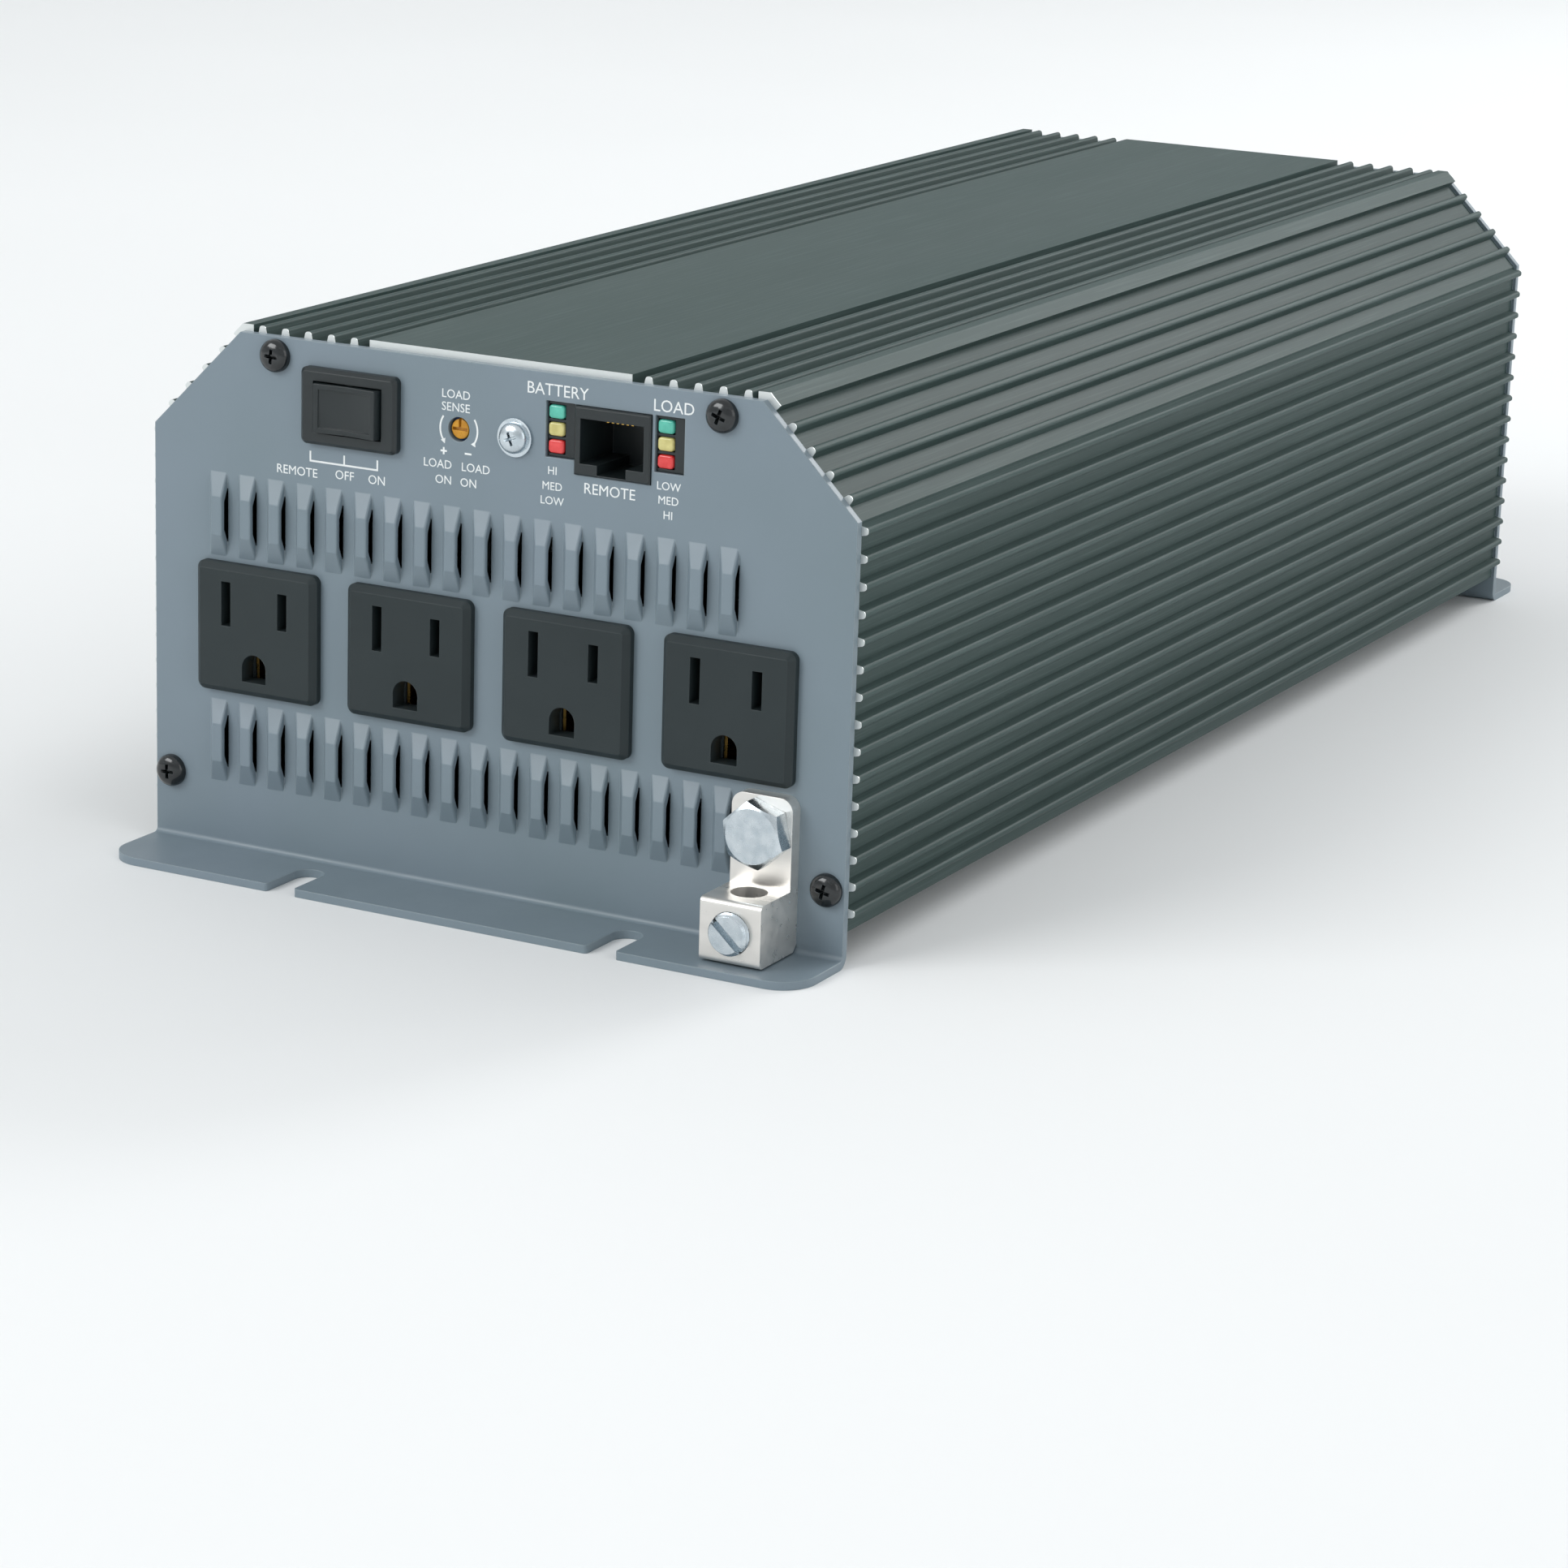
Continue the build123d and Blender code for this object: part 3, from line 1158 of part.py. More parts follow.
def transistor(side, y):
    """Power transistor against a heat bar: legs, moulded body and metal tab."""
    inner = bar_x - heat_bar_t / 2
    foot = board_top + transistor_leg
    with BuildPart() as device:
        slab(Plane.XY.offset(foot), side * (inner - transistor_t / 2), y, transistor_t, transistor_w,
             transistor_h)
        slab(Plane.XY.offset(foot), side * (inner - tab_sheet / 2), y, tab_sheet, transistor_w,
             transistor_h + transistor_tab)
        for k in (-1, 0, 1):
            slab(Plane.XY.offset(board_top), side * (inner - transistor_t + leg_t), y + k * leg_pitch,
                 leg_t, leg_t, transistor_leg)
    return device.part


def transistor_row(y_mid, count, pitch):
    """Transistors along both side walls."""
    return [transistor(side, y_mid + pitch * (i - (count - 1) / 2))
            for side in (-1, 1) for i in range(count)]


gather(transistor_row(dc_bar_y, dc_transistor_count, dc_transistor_pitch), "dc_transistors")
gather(transistor_row(ac_bar_y, ac_transistor_count, ac_transistor_pitch), "ac_transistors")

fuse_y = board_back - holder_w / 2 - fuse_edge
fuse_x = [fuse_pitch * (i - (fuse_count - 1) / 2) for i in range(fuse_count)]
with BuildPart() as fuse_holders:
    for x in fuse_x:
        slab(Plane.XY.offset(board_top), x, fuse_y, holder_t, holder_w, holder_h)
        slab(Plane.XY.offset(board_top + holder_h), x, fuse_y, fuse_leg_t + slip, fuse_w, -fuse_leg - slip,
             Mode.SUBTRACT)
save(fuse_holders, "fuse_holders")
with BuildPart() as fuses:
    for x in fuse_x:
        slab(Plane.XY.offset(board_top + holder_h), x, fuse_y, fuse_t, fuse_w, fuse_h)
        for side in (-1, 1):
            slab(Plane.XY.offset(board_top + holder_h), x, fuse_y + side * fuse_leg_place, fuse_leg_t,
                 fuse_leg, -fuse_leg)
save(fuses, "fuses")
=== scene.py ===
"""Power inverter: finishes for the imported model, and the detailed pieces that stand for its plain ones.

Sizes are in millimetres until a piece is placed, and metres after that. The AC end faces -Y, the DC end
faces +Y, and Z = 0 is the underside of the mounting flanges.
"""

import logging
from dataclasses import dataclass
from enum import Enum
from math import ceil, cos, hypot, pi, radians, sin, tan
from typing import Iterable, Sequence

import bmesh
import bpy
from bmesh.types import BMEdge, BMesh, BMVert
from bpy.types import NodeSocket
from mathutils import Matrix, Vector


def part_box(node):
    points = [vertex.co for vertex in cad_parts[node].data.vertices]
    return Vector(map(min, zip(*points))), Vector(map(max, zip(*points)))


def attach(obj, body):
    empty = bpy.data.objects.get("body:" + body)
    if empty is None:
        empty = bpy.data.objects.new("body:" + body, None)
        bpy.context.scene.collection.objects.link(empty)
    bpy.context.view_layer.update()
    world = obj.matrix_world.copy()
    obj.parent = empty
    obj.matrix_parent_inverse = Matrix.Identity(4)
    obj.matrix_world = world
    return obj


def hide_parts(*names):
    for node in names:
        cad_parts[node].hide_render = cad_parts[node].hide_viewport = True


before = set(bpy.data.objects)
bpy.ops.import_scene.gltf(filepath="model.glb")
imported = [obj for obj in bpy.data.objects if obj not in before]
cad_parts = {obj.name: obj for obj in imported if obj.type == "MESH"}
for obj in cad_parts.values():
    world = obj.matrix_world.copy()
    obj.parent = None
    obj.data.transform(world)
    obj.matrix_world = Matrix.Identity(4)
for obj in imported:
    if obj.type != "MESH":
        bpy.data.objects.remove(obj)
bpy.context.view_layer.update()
LOG = logging.getLogger("inverter")
MM = 0.001                        # a millimetre in the frame's metres
WELD = 1e-4                       # points closer than this are one
SLIVER = 1e-5                     # edges shorter than this are dropped
DRIFT = (0.35, 0.7)               # span of the noise over which a colour goes to its second one
POLISH = (0.3, 0.7)               # span of the noise over which roughness changes
EDGE_HIGHLIGHT_TURN = (0.985, 0.86)              # turn of the normal at an edge, as a cosine, over which the painted edge highlight fades in
BARE_METAL = "#dfe3e2"            # aluminium or tin where nothing covers it


def linear(code: str, alpha: float = 1.0) -> tuple[float, float, float, float]:
    """Turns an sRGB hex colour into linear values.

    Args:
        code: The colour, such as "#7b8890".
        alpha: The fourth value.

    Returns:
        Linear red, green, blue and alpha.
    """
    parts = [int(code[i:i + 2], 16) / 255 for i in (1, 3, 5)]
    low = [c / 12.92 if c <= 0.04045 else ((c + 0.055) / 1.055) ** 2.4 for c in parts]
    return (low[0], low[1], low[2], alpha)


# ---------------------------------------------------------------- node graphs and finishes


class Graph:
    """Node tree of one material, with its Object coordinates at hand."""

    def __init__(self, name: str) -> None:
        """Starts an empty material.

        Args:
            name: The material's name.
        """
        self.material = bpy.data.materials.new(name)
        self.material.use_nodes = True
        self.material.node_tree.nodes.clear()
        self.coords = self.add("ShaderNodeTexCoord").outputs["Object"]

    def add(self, kind: str, inputs: dict | None = None, **settings: object) -> bpy.types.Node:
        """Adds a node.

        Args:
            kind: The node's class name.
            inputs: Socket name or number to a value, or to the output that it's linked from.
            settings: Properties of the node.

        Returns:
            The new node.
        """
        node = self.material.node_tree.nodes.new(kind)
        for key, value in settings.items():
            setattr(node, key, value)
        for key, value in (inputs or {}).items():
            if isinstance(value, NodeSocket):
                self.material.node_tree.links.new(value, node.inputs[key])
            else:
                node.inputs[key].default_value = value
        return node


@dataclass(frozen=True)
class Finish:
    """A surface: a colour that drifts slowly, a fine grain, and softly rounded edges, which an edge colour
    gives a painted highlight.
    """

    name: str
    colour: str
    drift: str                    # colour that the first one drifts towards
    roughness: tuple[float, float] = (0.4, 0.5)
    metallic: float = 0.0
    ior: float = 1.5
    coat: float = 0.0
    drift_mm: float = 25.0        # size of the drifting patches
    grain_mm: float = 0.5         # size of the grain, which in a fine one is just coarse enough to show
    grain_depth: float = 0.01     # height of the grain, mm
    stretch: tuple[float, float, float] = (1.0, 1.0, 1.0)
    edge: str = ""                # colour of the painted highlight on rounded edges; also the cover's drawing lines and the board's gaps
    edge_mm: float = 0.0          # how far the edges are rounded in shading, and how wide their painted highlight is

    def noise(self, graph: Graph, size_mm: float, detail: float = 2.0) -> NodeSocket:
        """Noise with features of a real size, stretched as the finish is.

        Args:
            graph: The material's nodes.
            size_mm: Size of its features.
            detail: How many finer layers it has.

        Returns:
            Its value, from 0 to 1.
        """
        place = graph.add("ShaderNodeMapping", {"Vector": graph.coords, "Scale": self.stretch})
        made = graph.add("ShaderNodeTexNoise", {"Vector": place.outputs["Vector"], "Detail": detail,
                                                "Scale": 1 / (size_mm * MM)})
        return made.outputs["Fac"]

    def blend(self, graph: Graph, factor: NodeSocket, first: NodeSocket | str,
              second: NodeSocket | str) -> NodeSocket:
        """Mixes two colours.

        Args:
            graph: The material's nodes.
            factor: Share of the second colour.
            first: A socket or a hex code.
            second: A socket or a hex code.

        Returns:
            The mixed colour.
        """
        sides = [linear(c) if isinstance(c, str) else c for c in (first, second)]
        mixed = graph.add("ShaderNodeMix", {0: factor, 6: sides[0], 7: sides[1]}, data_type="RGBA")
        return mixed.outputs[2]

    def window(self, graph: Graph, value: NodeSocket, low: float, high: float) -> NodeSocket:
        """Ramps from 0 to 1 as a value goes from low to high; returns the ramp."""
        ramp = graph.add("ShaderNodeMapRange", {"Value": value, "From Min": low, "From Max": high})
        return ramp.outputs["Result"]

    def tint(self, graph: Graph) -> NodeSocket:
        """Base colour before any wear; returns it."""
        return self.blend(graph, self.window(graph, self.noise(graph, self.drift_mm), *DRIFT),
                          self.colour, self.drift)

    def relief(self, graph: Graph) -> tuple[NodeSocket, float]:
        """Fine height pattern; returns it and its depth in mm."""
        return self.noise(graph, self.grain_mm), self.grain_depth

    def bare(self, graph: Graph) -> NodeSocket | None:
        """Mask of a second, bare metal; returns it, or None where there is none."""
        return None

    def material(self) -> bpy.types.Material:
        """Builds the finish, unless it has been built already.

        Returns:
            The material.
        """
        if self.name in bpy.data.materials:
            return bpy.data.materials[self.name]
        graph = Graph(self.name)
        colour = self.tint(graph)
        height, depth = self.relief(graph)
        bump = {"Height": height, "Distance": depth * MM, "Strength": 1.0}
        if self.edge_mm:
            soft = graph.add("ShaderNodeBevel", {"Radius": self.edge_mm * MM}, samples=4).outputs["Normal"]
            bump["Normal"] = soft
            if self.edge:
                flat = graph.add("ShaderNodeNewGeometry").outputs["Normal"]
                bend = graph.add("ShaderNodeVectorMath", {0: soft, 1: flat}, operation="DOT_PRODUCT")
                # Painted highlight: the edge colour comes in where the rounded normal turns away from the
                # face's.
                edge_highlight = self.window(graph, bend.outputs["Value"], *EDGE_HIGHLIGHT_TURN)
                colour = self.blend(graph, edge_highlight, colour, self.edge)
        rough = self.window(graph, self.noise(graph, self.drift_mm / 3, detail=4.0), *POLISH)
        rough = graph.add("ShaderNodeMapRange", {"Value": rough, "To Min": self.roughness[0],
                                                 "To Max": self.roughness[1]}).outputs["Result"]
        inputs = {"Roughness": rough, "Metallic": self.metallic, "IOR": self.ior, "Coat Weight": self.coat,
                  "Normal": graph.add("ShaderNodeBump", bump).outputs["Normal"]}
        mask = self.bare(graph)
        if mask is not None:
            inputs["Metallic"] = mask
            colour = self.blend(graph, mask, colour, BARE_METAL)
        shader = graph.add("ShaderNodeBsdfPrincipled", {"Base Color": colour, **inputs})
        graph.add("ShaderNodeOutputMaterial", {"Surface": shader.outputs["BSDF"]})
        return graph.material


@dataclass(frozen=True)
class ExtrudedCover(Finish):
    """Painted aluminium extrusion: faint lines along its length, and bare metal where it was sawn off."""

    length: tuple[float, float] = (-175.8, 168.0)   # sawn ends, along Y
    line_mm: float = 0.35                           # spacing of the drawing lines
    line_run: float = 0.012                         # their width as a share of their length
    line_span: tuple[float, float] = (0.5, 0.95)    # span of the noise that shows as lines
    saw_mm: float = 0.35                            # how far the paint is chipped from the sawn end
    chip_mm: float = 1.1                            # size of the chips
    fade_mm: tuple[float, float] = (0.02, 0.06)     # where the paint ends, past the sawn end

    def tint(self, graph: Graph) -> NodeSocket:
        """Lightens the paint a little along the drawing lines.

        Args:
            graph: The material's nodes.

        Returns:
            The colour.
        """
        paint = Finish.tint(self, graph)
        lines = graph.add("ShaderNodeMapping", {"Vector": graph.coords, "Scale": (1.0, self.line_run, 1.0)})
        drawn = graph.add("ShaderNodeTexNoise", {"Vector": lines.outputs["Vector"],
                                                 "Scale": 1 / (self.line_mm * MM), "Detail": 3.0})
        return self.blend(graph, self.window(graph, drawn.outputs["Fac"], *self.line_span), paint, self.edge)

    def bare(self, graph: Graph) -> NodeSocket:
        """Finds the bare metal at both sawn ends.

        Args:
            graph: The material's nodes.

        Returns:
            Its mask.
        """
        low, high = self.length
        along = graph.add("ShaderNodeSeparateXYZ", {"Vector": graph.coords}).outputs["Y"]
        off = graph.add("ShaderNodeMath", {0: along, 1: (low + high) / 2 * MM}, operation="SUBTRACT")
        far = graph.add("ShaderNodeMath", {0: off.outputs[0]}, operation="ABSOLUTE").outputs[0]
        chips = self.noise(graph, self.chip_mm)
        ragged = graph.add("ShaderNodeMath", {0: chips, 1: self.saw_mm * MM, 2: far},
                           operation="MULTIPLY_ADD").outputs[0]
        end = (high - low) / 2 * MM
        return self.window(graph, ragged, *(end + past * MM for past in self.fade_mm))


@dataclass(frozen=True)
class CircuitBoard(Finish):
    """Glass-fibre board under solder mask, with copper tracks showing as a lighter green."""

    track_mm: float = 2.4
    gap: float = 0.12             # gap between tracks, as a share of one

    def tint(self, graph: Graph) -> NodeSocket:
        """Solder mask over tracks; returns the colour."""
        cells = graph.add("ShaderNodeTexBrick", {"Vector": graph.coords, "Scale": 1 / (self.track_mm * MM),
                                                 "Mortar Size": self.gap, "Color1": linear(self.colour),
                                                 "Color2": linear(self.drift), "Mortar": linear(self.edge)})
        return cells.outputs["Color"]


@dataclass(frozen=True)
class Taped(Finish):
    """Winding under varnished tape, whose turns show as fine steps."""

    turn_mm: float = 2.0          # height of one turn of tape
    slack: float = 1.5            # how unevenly the turns lie
    wave: float = 0.32            # scale at which the wave node makes one band

    def relief(self, graph: Graph) -> tuple[NodeSocket, float]:
        """Tape edges up the winding; returns the height and its depth in mm."""
        turns = graph.add("ShaderNodeTexWave", {"Vector": graph.coords, "Distortion": self.slack,
                                                "Scale": self.wave / (self.turn_mm * MM)},
                          bands_direction="Z", wave_profile="SAW")
        return turns.outputs["Fac"], self.grain_depth


@dataclass(frozen=True)
class CappedPart(Finish):
    """Dark body whose top, above a given height, is bare metal: a can's lid or a transistor's tab."""

    top_mm: float = 60.0          # height where the metal starts
    fade_mm: float = 0.05         # half the height over which it starts

    def bare(self, graph: Graph) -> NodeSocket:
        """Finds the metal above the body.

        Args:
            graph: The material's nodes.

        Returns:
            Its mask.
        """
        height = graph.add("ShaderNodeSeparateXYZ", {"Vector": graph.coords}).outputs["Z"]
        low, high = self.top_mm - self.fade_mm, self.top_mm + self.fade_mm
        return self.window(graph, height, low * MM, high * MM)


# Extruded aluminium, sprayed dark green-grey: satin, with faint lines along the ribs. Its low IOR keeps
# it dark at a grazing angle.
COVER = ExtrudedCover("painted_extruded_aluminium", "#3f504e", "#3b4b49", (0.46, 0.5), ior=1.24,
                      drift_mm=60.0, grain_mm=0.25, grain_depth=0.006, stretch=(1.0, 0.08, 1.0),
                      edge="#566765")
# Bent steel sheet under blue-grey powder: fine orange peel, and edges made slightly paler by a painted
# highlight.
SHEET = Finish("powder_coated_steel", "#788690", "#73828a", (0.36, 0.46), drift_mm=45.0, grain_mm=0.9,
               grain_depth=0.012, edge="#93a0a6", edge_mm=0.3)
# Injection-moulded ABS with a spark-eroded grain: dull, with soft edges that carry a faint painted
# highlight.
OUTLET = Finish("moulded_abs_charcoal", "#283133", "#242d2f", (0.45, 0.58), ior=1.4, grain_mm=0.28,
                grain_depth=0.01, edge="#3d4547", edge_mm=0.25)
# Injection-moulded nylon: blacker and smoother than the outlets, with a line of painted highlight along its
# edges.
SWITCH = Finish("moulded_nylon_black", "#1e2628", "#192123", (0.3, 0.42), grain_mm=0.22, grain_depth=0.006,
                edge="#31383a", edge_mm=0.2)
# Glass-filled PBT: its fibres leave the moulded skin faintly rough, and its highlights broad.
FAN = Finish("glass_filled_pbt_black", "#1e2223", "#191c1d", (0.38, 0.5), grain_mm=0.35, grain_depth=0.008)
# Soft moulded PVC: a waxy black, with a weak gloss over it and wide edges made pale by a painted highlight.
TERMINAL_BLACK = Finish("moulded_pvc_black", "#212628", "#1c2022", (0.3, 0.4), coat=0.1, grain_mm=0.3,
                        grain_depth=0.006, edge="#3a4143", edge_mm=0.3)
# The same PVC in red: bright and even, with edges made lighter by a painted highlight.
TERMINAL_RED = Finish("moulded_pvc_red", "#dd4b48", "#d34542", (0.3, 0.4), coat=0.15, grain_mm=0.3,
                      grain_depth=0.005, edge="#ea6a64", edge_mm=0.3)
# Zinc-plated steel: bright, bluish and faintly blotched.
ZINC = Finish("zinc_plated_steel", "#d9e1e6", "#c2cdd4", (0.18, 0.32), metallic=1.0, drift_mm=2.5,
              grain_mm=0.3, grain_depth=0.003, edge_mm=0.1)
# Drawn steel wire, chrome plated: a near mirror with faint drawing marks.
CHROME = Finish("chrome_plated_wire", "#dfe2e4", "#d2d6d9", (0.06, 0.14), metallic=1.0, drift_mm=6.0,
                grain_mm=0.6, grain_depth=0.001)
# Phosphated and dipped black screws: glossy on their domes, with a grey painted highlight along the edges of
# the head and its cross.
BLACK_SCREW = Finish("black_lacquered_steel", "#15181a", "#1f2426", (0.12, 0.26), metallic=0.35, coat=0.6,
                     drift_mm=1.5, grain_mm=0.25, grain_depth=0.003, edge="#5a6164", edge_mm=0.1)
# Sawn aluminium bar, tin plated: warm and satin, with saw lines across and a painted highlight along its
# edges.
TINNED = Finish("tin_plated_aluminium", "#f4f1ec", "#e6e3de", (0.26, 0.4), metallic=0.85, drift_mm=5.0,
                grain_mm=0.5, grain_depth=0.008, stretch=(0.12, 1.0, 1.0), edge="#fbf9f5", edge_mm=0.15)
# Tin-plated lug with a bored hole: bright, with turned rings down the bore and a painted highlight round its
# edges.
BORED = Finish("bored_tinned_lug", "#e6e5e2", "#cfd0cf", (0.2, 0.34), metallic=0.9, drift_mm=5.0,
               grain_mm=0.7, grain_depth=0.02, stretch=(0.1, 1.0, 0.1), edge="#fbf9f5", edge_mm=0.1)
# Stamped brass strip: yellow, with the mill's lines along it, deep inside the outlets.
BRASS = Finish("stamped_brass", "#c9a45a", "#b8924a", (0.22, 0.36), metallic=1.0, drift_mm=4.0,
               grain_mm=0.4, grain_depth=0.004, stretch=(1.0, 0.1, 1.0))
# Gold flash over nickel: smooth, and the warmest colour on the face.
GOLD = Finish("gold_flashed_contacts", "#e0b75f", "#d4a94e", (0.15, 0.25), metallic=1.0, drift_mm=2.0)
# Rolled copper bar: patches of pink and brown, as it tarnishes.
COPPER = Finish("rolled_copper", "#c07a55", "#a9654a", (0.25, 0.42), metallic=1.0, drift_mm=9.0,
                grain_mm=0.5, grain_depth=0.004, stretch=(1.0, 1.0, 0.1))
# Aluminium as it left the mill: pale, with long rolling lines that spread its highlights.
ALUMINIUM = Finish("mill_finished_aluminium", "#c4c8ca", "#b5babc", (0.3, 0.45), metallic=1.0,
                   drift_mm=20.0, grain_mm=0.4, grain_depth=0.005, stretch=(1.0, 0.03, 1.0))
# Steel laminations with wire between them: brownish, banded and half dull.
LAMINATED = Finish("laminated_steel_and_wire", "#7c6a5a", "#8a8f92", (0.35, 0.5), metallic=0.8,
                   drift_mm=3.0, grain_mm=0.5, grain_depth=0.06, stretch=(0.1, 1.0, 0.1))
# Moulded acetal: slippery amber, with a painted highlight on its edges that makes it paler round its slot.
DIAL = Finish("moulded_pom_amber", "#c98f1c", "#b87d14", (0.25, 0.35), drift_mm=1.2, grain_mm=0.15,
              grain_depth=0.006, edge="#e6b64a", edge_mm=0.08)
# Filled epoxy: a flat, even blue.
TRIMMER = Finish("moulded_epoxy_blue", "#2f5d9e", "#28528e", (0.4, 0.5))
# Solder mask over copper: glossy green, with lighter tracks and dark gaps.
BOARD = CircuitBoard("solder_masked_board", "#17603a", "#1b6a41", (0.25, 0.35), edge="#0f4a2b", coat=0.3)
# Sintered ferrite: charcoal, matt and slightly pitted.
FERRITE = Finish("sintered_ferrite", "#2c2d2e", "#242526", (0.55, 0.7), grain_mm=0.3, grain_depth=0.02,
                 drift_mm=3.0)
# Polyester tape under varnish: a dull amber brown, stepped at each turn.
TAPE = Taped("varnished_winding_tape", "#57451f", "#4b3b1b", (0.35, 0.45), grain_depth=0.05)
# Enamelled copper wire: dark red-brown and shiny, bumpy from turn to turn.
CHOKE = Finish("enamelled_winding", "#6e3c1f", "#5c321a", (0.22, 0.32), metallic=0.6, drift_mm=1.4,
               grain_mm=0.9, grain_depth=0.1)
# Aluminium cans in shrunk sleeves, navy and near black: a soft sheen, with bright lids.
INPUT_CAN = CappedPart("sleeved_can_small", "#1f2a44", "#1b2540", (0.3, 0.4), top_mm=48.7)
BUS_CAN = CappedPart("sleeved_can_large", "#20242c", "#1b1f26", (0.3, 0.4), top_mm=64.7)
# Moulded epoxy under a plated tab: dull black, with a bright top.
CHIP = CappedPart("epoxy_moulded_transistor", "#1a1b1c", "#202122", (0.4, 0.55), grain_depth=0.02,
                  top_mm=34.35)
# Moulded polysulphone: glossy, deep green.
FUSE = Finish("moulded_polysulphone_green", "#2f6437", "#2a5a32", (0.15, 0.25), coat=0.4)
# Moulded PBT: a plain, dull grey.
HOLDER = Finish("moulded_pbt_grey", "#3b3f41", "#343839", (0.45, 0.55))
# Screen-printed ink: opaque off-white, duller than the powder under it.
INK = Finish("screen_printed_white_ink", "#e9ecec", "#dfe3e3", (0.5, 0.62), drift_mm=3.0, grain_mm=0.3,
             grain_depth=0.004)
# Moulded lenses with a diffuser in them, unlit: milky colour under a hard gloss.
LAMP_GREEN = Finish("diffused_lens_green", "#46ac98", "#57bfa9", (0.12, 0.2), coat=0.5, drift_mm=1.6)
LAMP_YELLOW = Finish("diffused_lens_yellow", "#bdb36c", "#d2c984", (0.12, 0.2), coat=0.5, drift_mm=1.6)
LAMP_RED = Finish("diffused_lens_red", "#cf2727", "#e24444", (0.12, 0.2), coat=0.5, drift_mm=1.6)
# Rolled studio paper: matt and nearly white.
FLOOR = Finish("matt_studio_paper", "#f1f2f2", "#eff0f0", (0.8, 0.9), drift_mm=400.0, grain_mm=3.0,
               grain_depth=0.01)

CAD_FINISHES: dict[str, Finish] = {
    "housing_cover": COVER, "base_plate": ALUMINIUM, "ac_end_plate": SHEET, "dc_end_plate": SHEET,
    "outlet_1": OUTLET, "outlet_2": OUTLET, "outlet_3": OUTLET, "outlet_4": OUTLET, "outlet_contacts": BRASS,
    "switch_body": SWITCH, "switch_tabs": BRASS, "control_board": BOARD, "board_bracket": ZINC,
    "trimmer_body": TRIMMER, "lamp_holders": SWITCH, "remote_jack": SWITCH, "jack_contacts": GOLD,
    "ground_lug": TINNED, "ground_nut": ZINC, "fan_frame": FAN, "fan_motor": LAMINATED, "fan_guard": CHROME,
    "fan_nuts": ZINC, "terminal_cover_negative": TERMINAL_BLACK, "terminal_cover_positive": TERMINAL_RED,
    "terminal_lug_negative": BORED, "terminal_lug_positive": BORED, "bus_bar_negative": COPPER,
    "bus_bar_positive": COPPER, "lug_nuts": ZINC, "main_board": BOARD, "standoffs": BRASS,
    "board_screws": ZINC, "transformer_cores": FERRITE, "transformer_windings": TAPE, "output_choke": CHOKE,
    "input_capacitors": INPUT_CAN, "bus_capacitors": BUS_CAN, "heat_bars": ALUMINIUM, "dc_transistors": CHIP,
    "ac_transistors": CHIP, "fuses": FUSE, "fuse_holders": HOLDER,
}


# ---------------------------------------------------------------- mesh helpers


@dataclass(frozen=True)
class PanelFace:
    """Outer face of an end plate: seen from outside, x runs right, y up and z out."""

    y: float                      # mm, along world Y
    right: int                    # +1 where world X runs right, -1 where it runs left

    def at(self, x: float, z: float, out: float = 0.0, turn: float = 0.0) -> Matrix:
        """Place of a piece on the face.

        Args:
            x: World X of its middle, mm.
            z: World Z of its middle, mm.
            out: Distance in front of the face, mm.
            turn: Turn about the outward axis, degrees.

        Returns:
            Matrix from the piece's own millimetres to the frame's metres.
        """
        r = self.right
        basis = Matrix(((r, 0, 0, x), (0, 0, -r, self.y - r * out), (0, 1, 0, z), (0, 0, 0, 1)))
        return Matrix.Scale(MM, 4) @ basis @ Matrix.Rotation(radians(turn), 4, "Z")


FLANGE = 17.5                     # flange depth, from a plate's face to its edge
AC = PanelFace(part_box("ac_end_plate")[0].y / MM + FLANGE, 1)
DC = PanelFace(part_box("dc_end_plate")[1].y / MM - FLANGE, -1)


def upright(x: float, y: float, z: float) -> Matrix:
    """Place of a piece whose own z runs up, from a point in mm; returns the matrix to metres."""
    return Matrix.Scale(MM, 4) @ Matrix.Translation((x, y, z))


def lathe(profile: Sequence[tuple[float, float]], steps: int = 48) -> BMesh:
    """Turns a profile of (radius, height) points about z.

    Args:
        profile: Points from the top of the axis to its bottom, both on the axis.
        steps: Faces round the axis.

    Returns:
        A closed solid.
    """
    bm = bmesh.new()
    verts = [bm.verts.new((r, 0.0, z)) for r, z in profile]
    edges = [bm.edges.new(pair) for pair in zip(verts, verts[1:])]
    bmesh.ops.spin(bm, geom=verts + edges, cent=(0, 0, 0), axis=(0, 0, 1), angle=2 * pi, steps=steps,
                   use_merge=True)
    return tidy(bm)


def tidy(bm: BMesh) -> BMesh:
    """Merges doubled points and turns the faces outwards.

    Args:
        bm: The mesh that is cleaned.

    Returns:
        The same mesh.
    """
    bmesh.ops.remove_doubles(bm, verts=bm.verts, dist=WELD)
    bmesh.ops.dissolve_degenerate(bm, edges=bm.edges, dist=SLIVER)
    bmesh.ops.recalc_face_normals(bm, faces=bm.faces)
    return bm


def block(width: float, height: float, depth: float, middle: Sequence[float] = (0, 0, 0),
          taper: float = 1.0) -> BMesh:
    """Makes a block.

    Args:
        width: Size along x.
        height: Size along y.
        depth: Size along z.
        middle: Its middle.
        taper: Size of its lower end as a share of its upper one.

    Returns:
        The block.
    """
    bm = bmesh.new()
    made = bmesh.ops.create_cube(bm, size=1.0)
    low = [v for v in made["verts"] if v.co.z < 0]
    bmesh.ops.scale(bm, vec=(taper, taper, 1.0), verts=low)
    bmesh.ops.scale(bm, vec=(width, height, depth), verts=bm.verts)
    bmesh.ops.translate(bm, vec=middle, verts=bm.verts)
    return bm


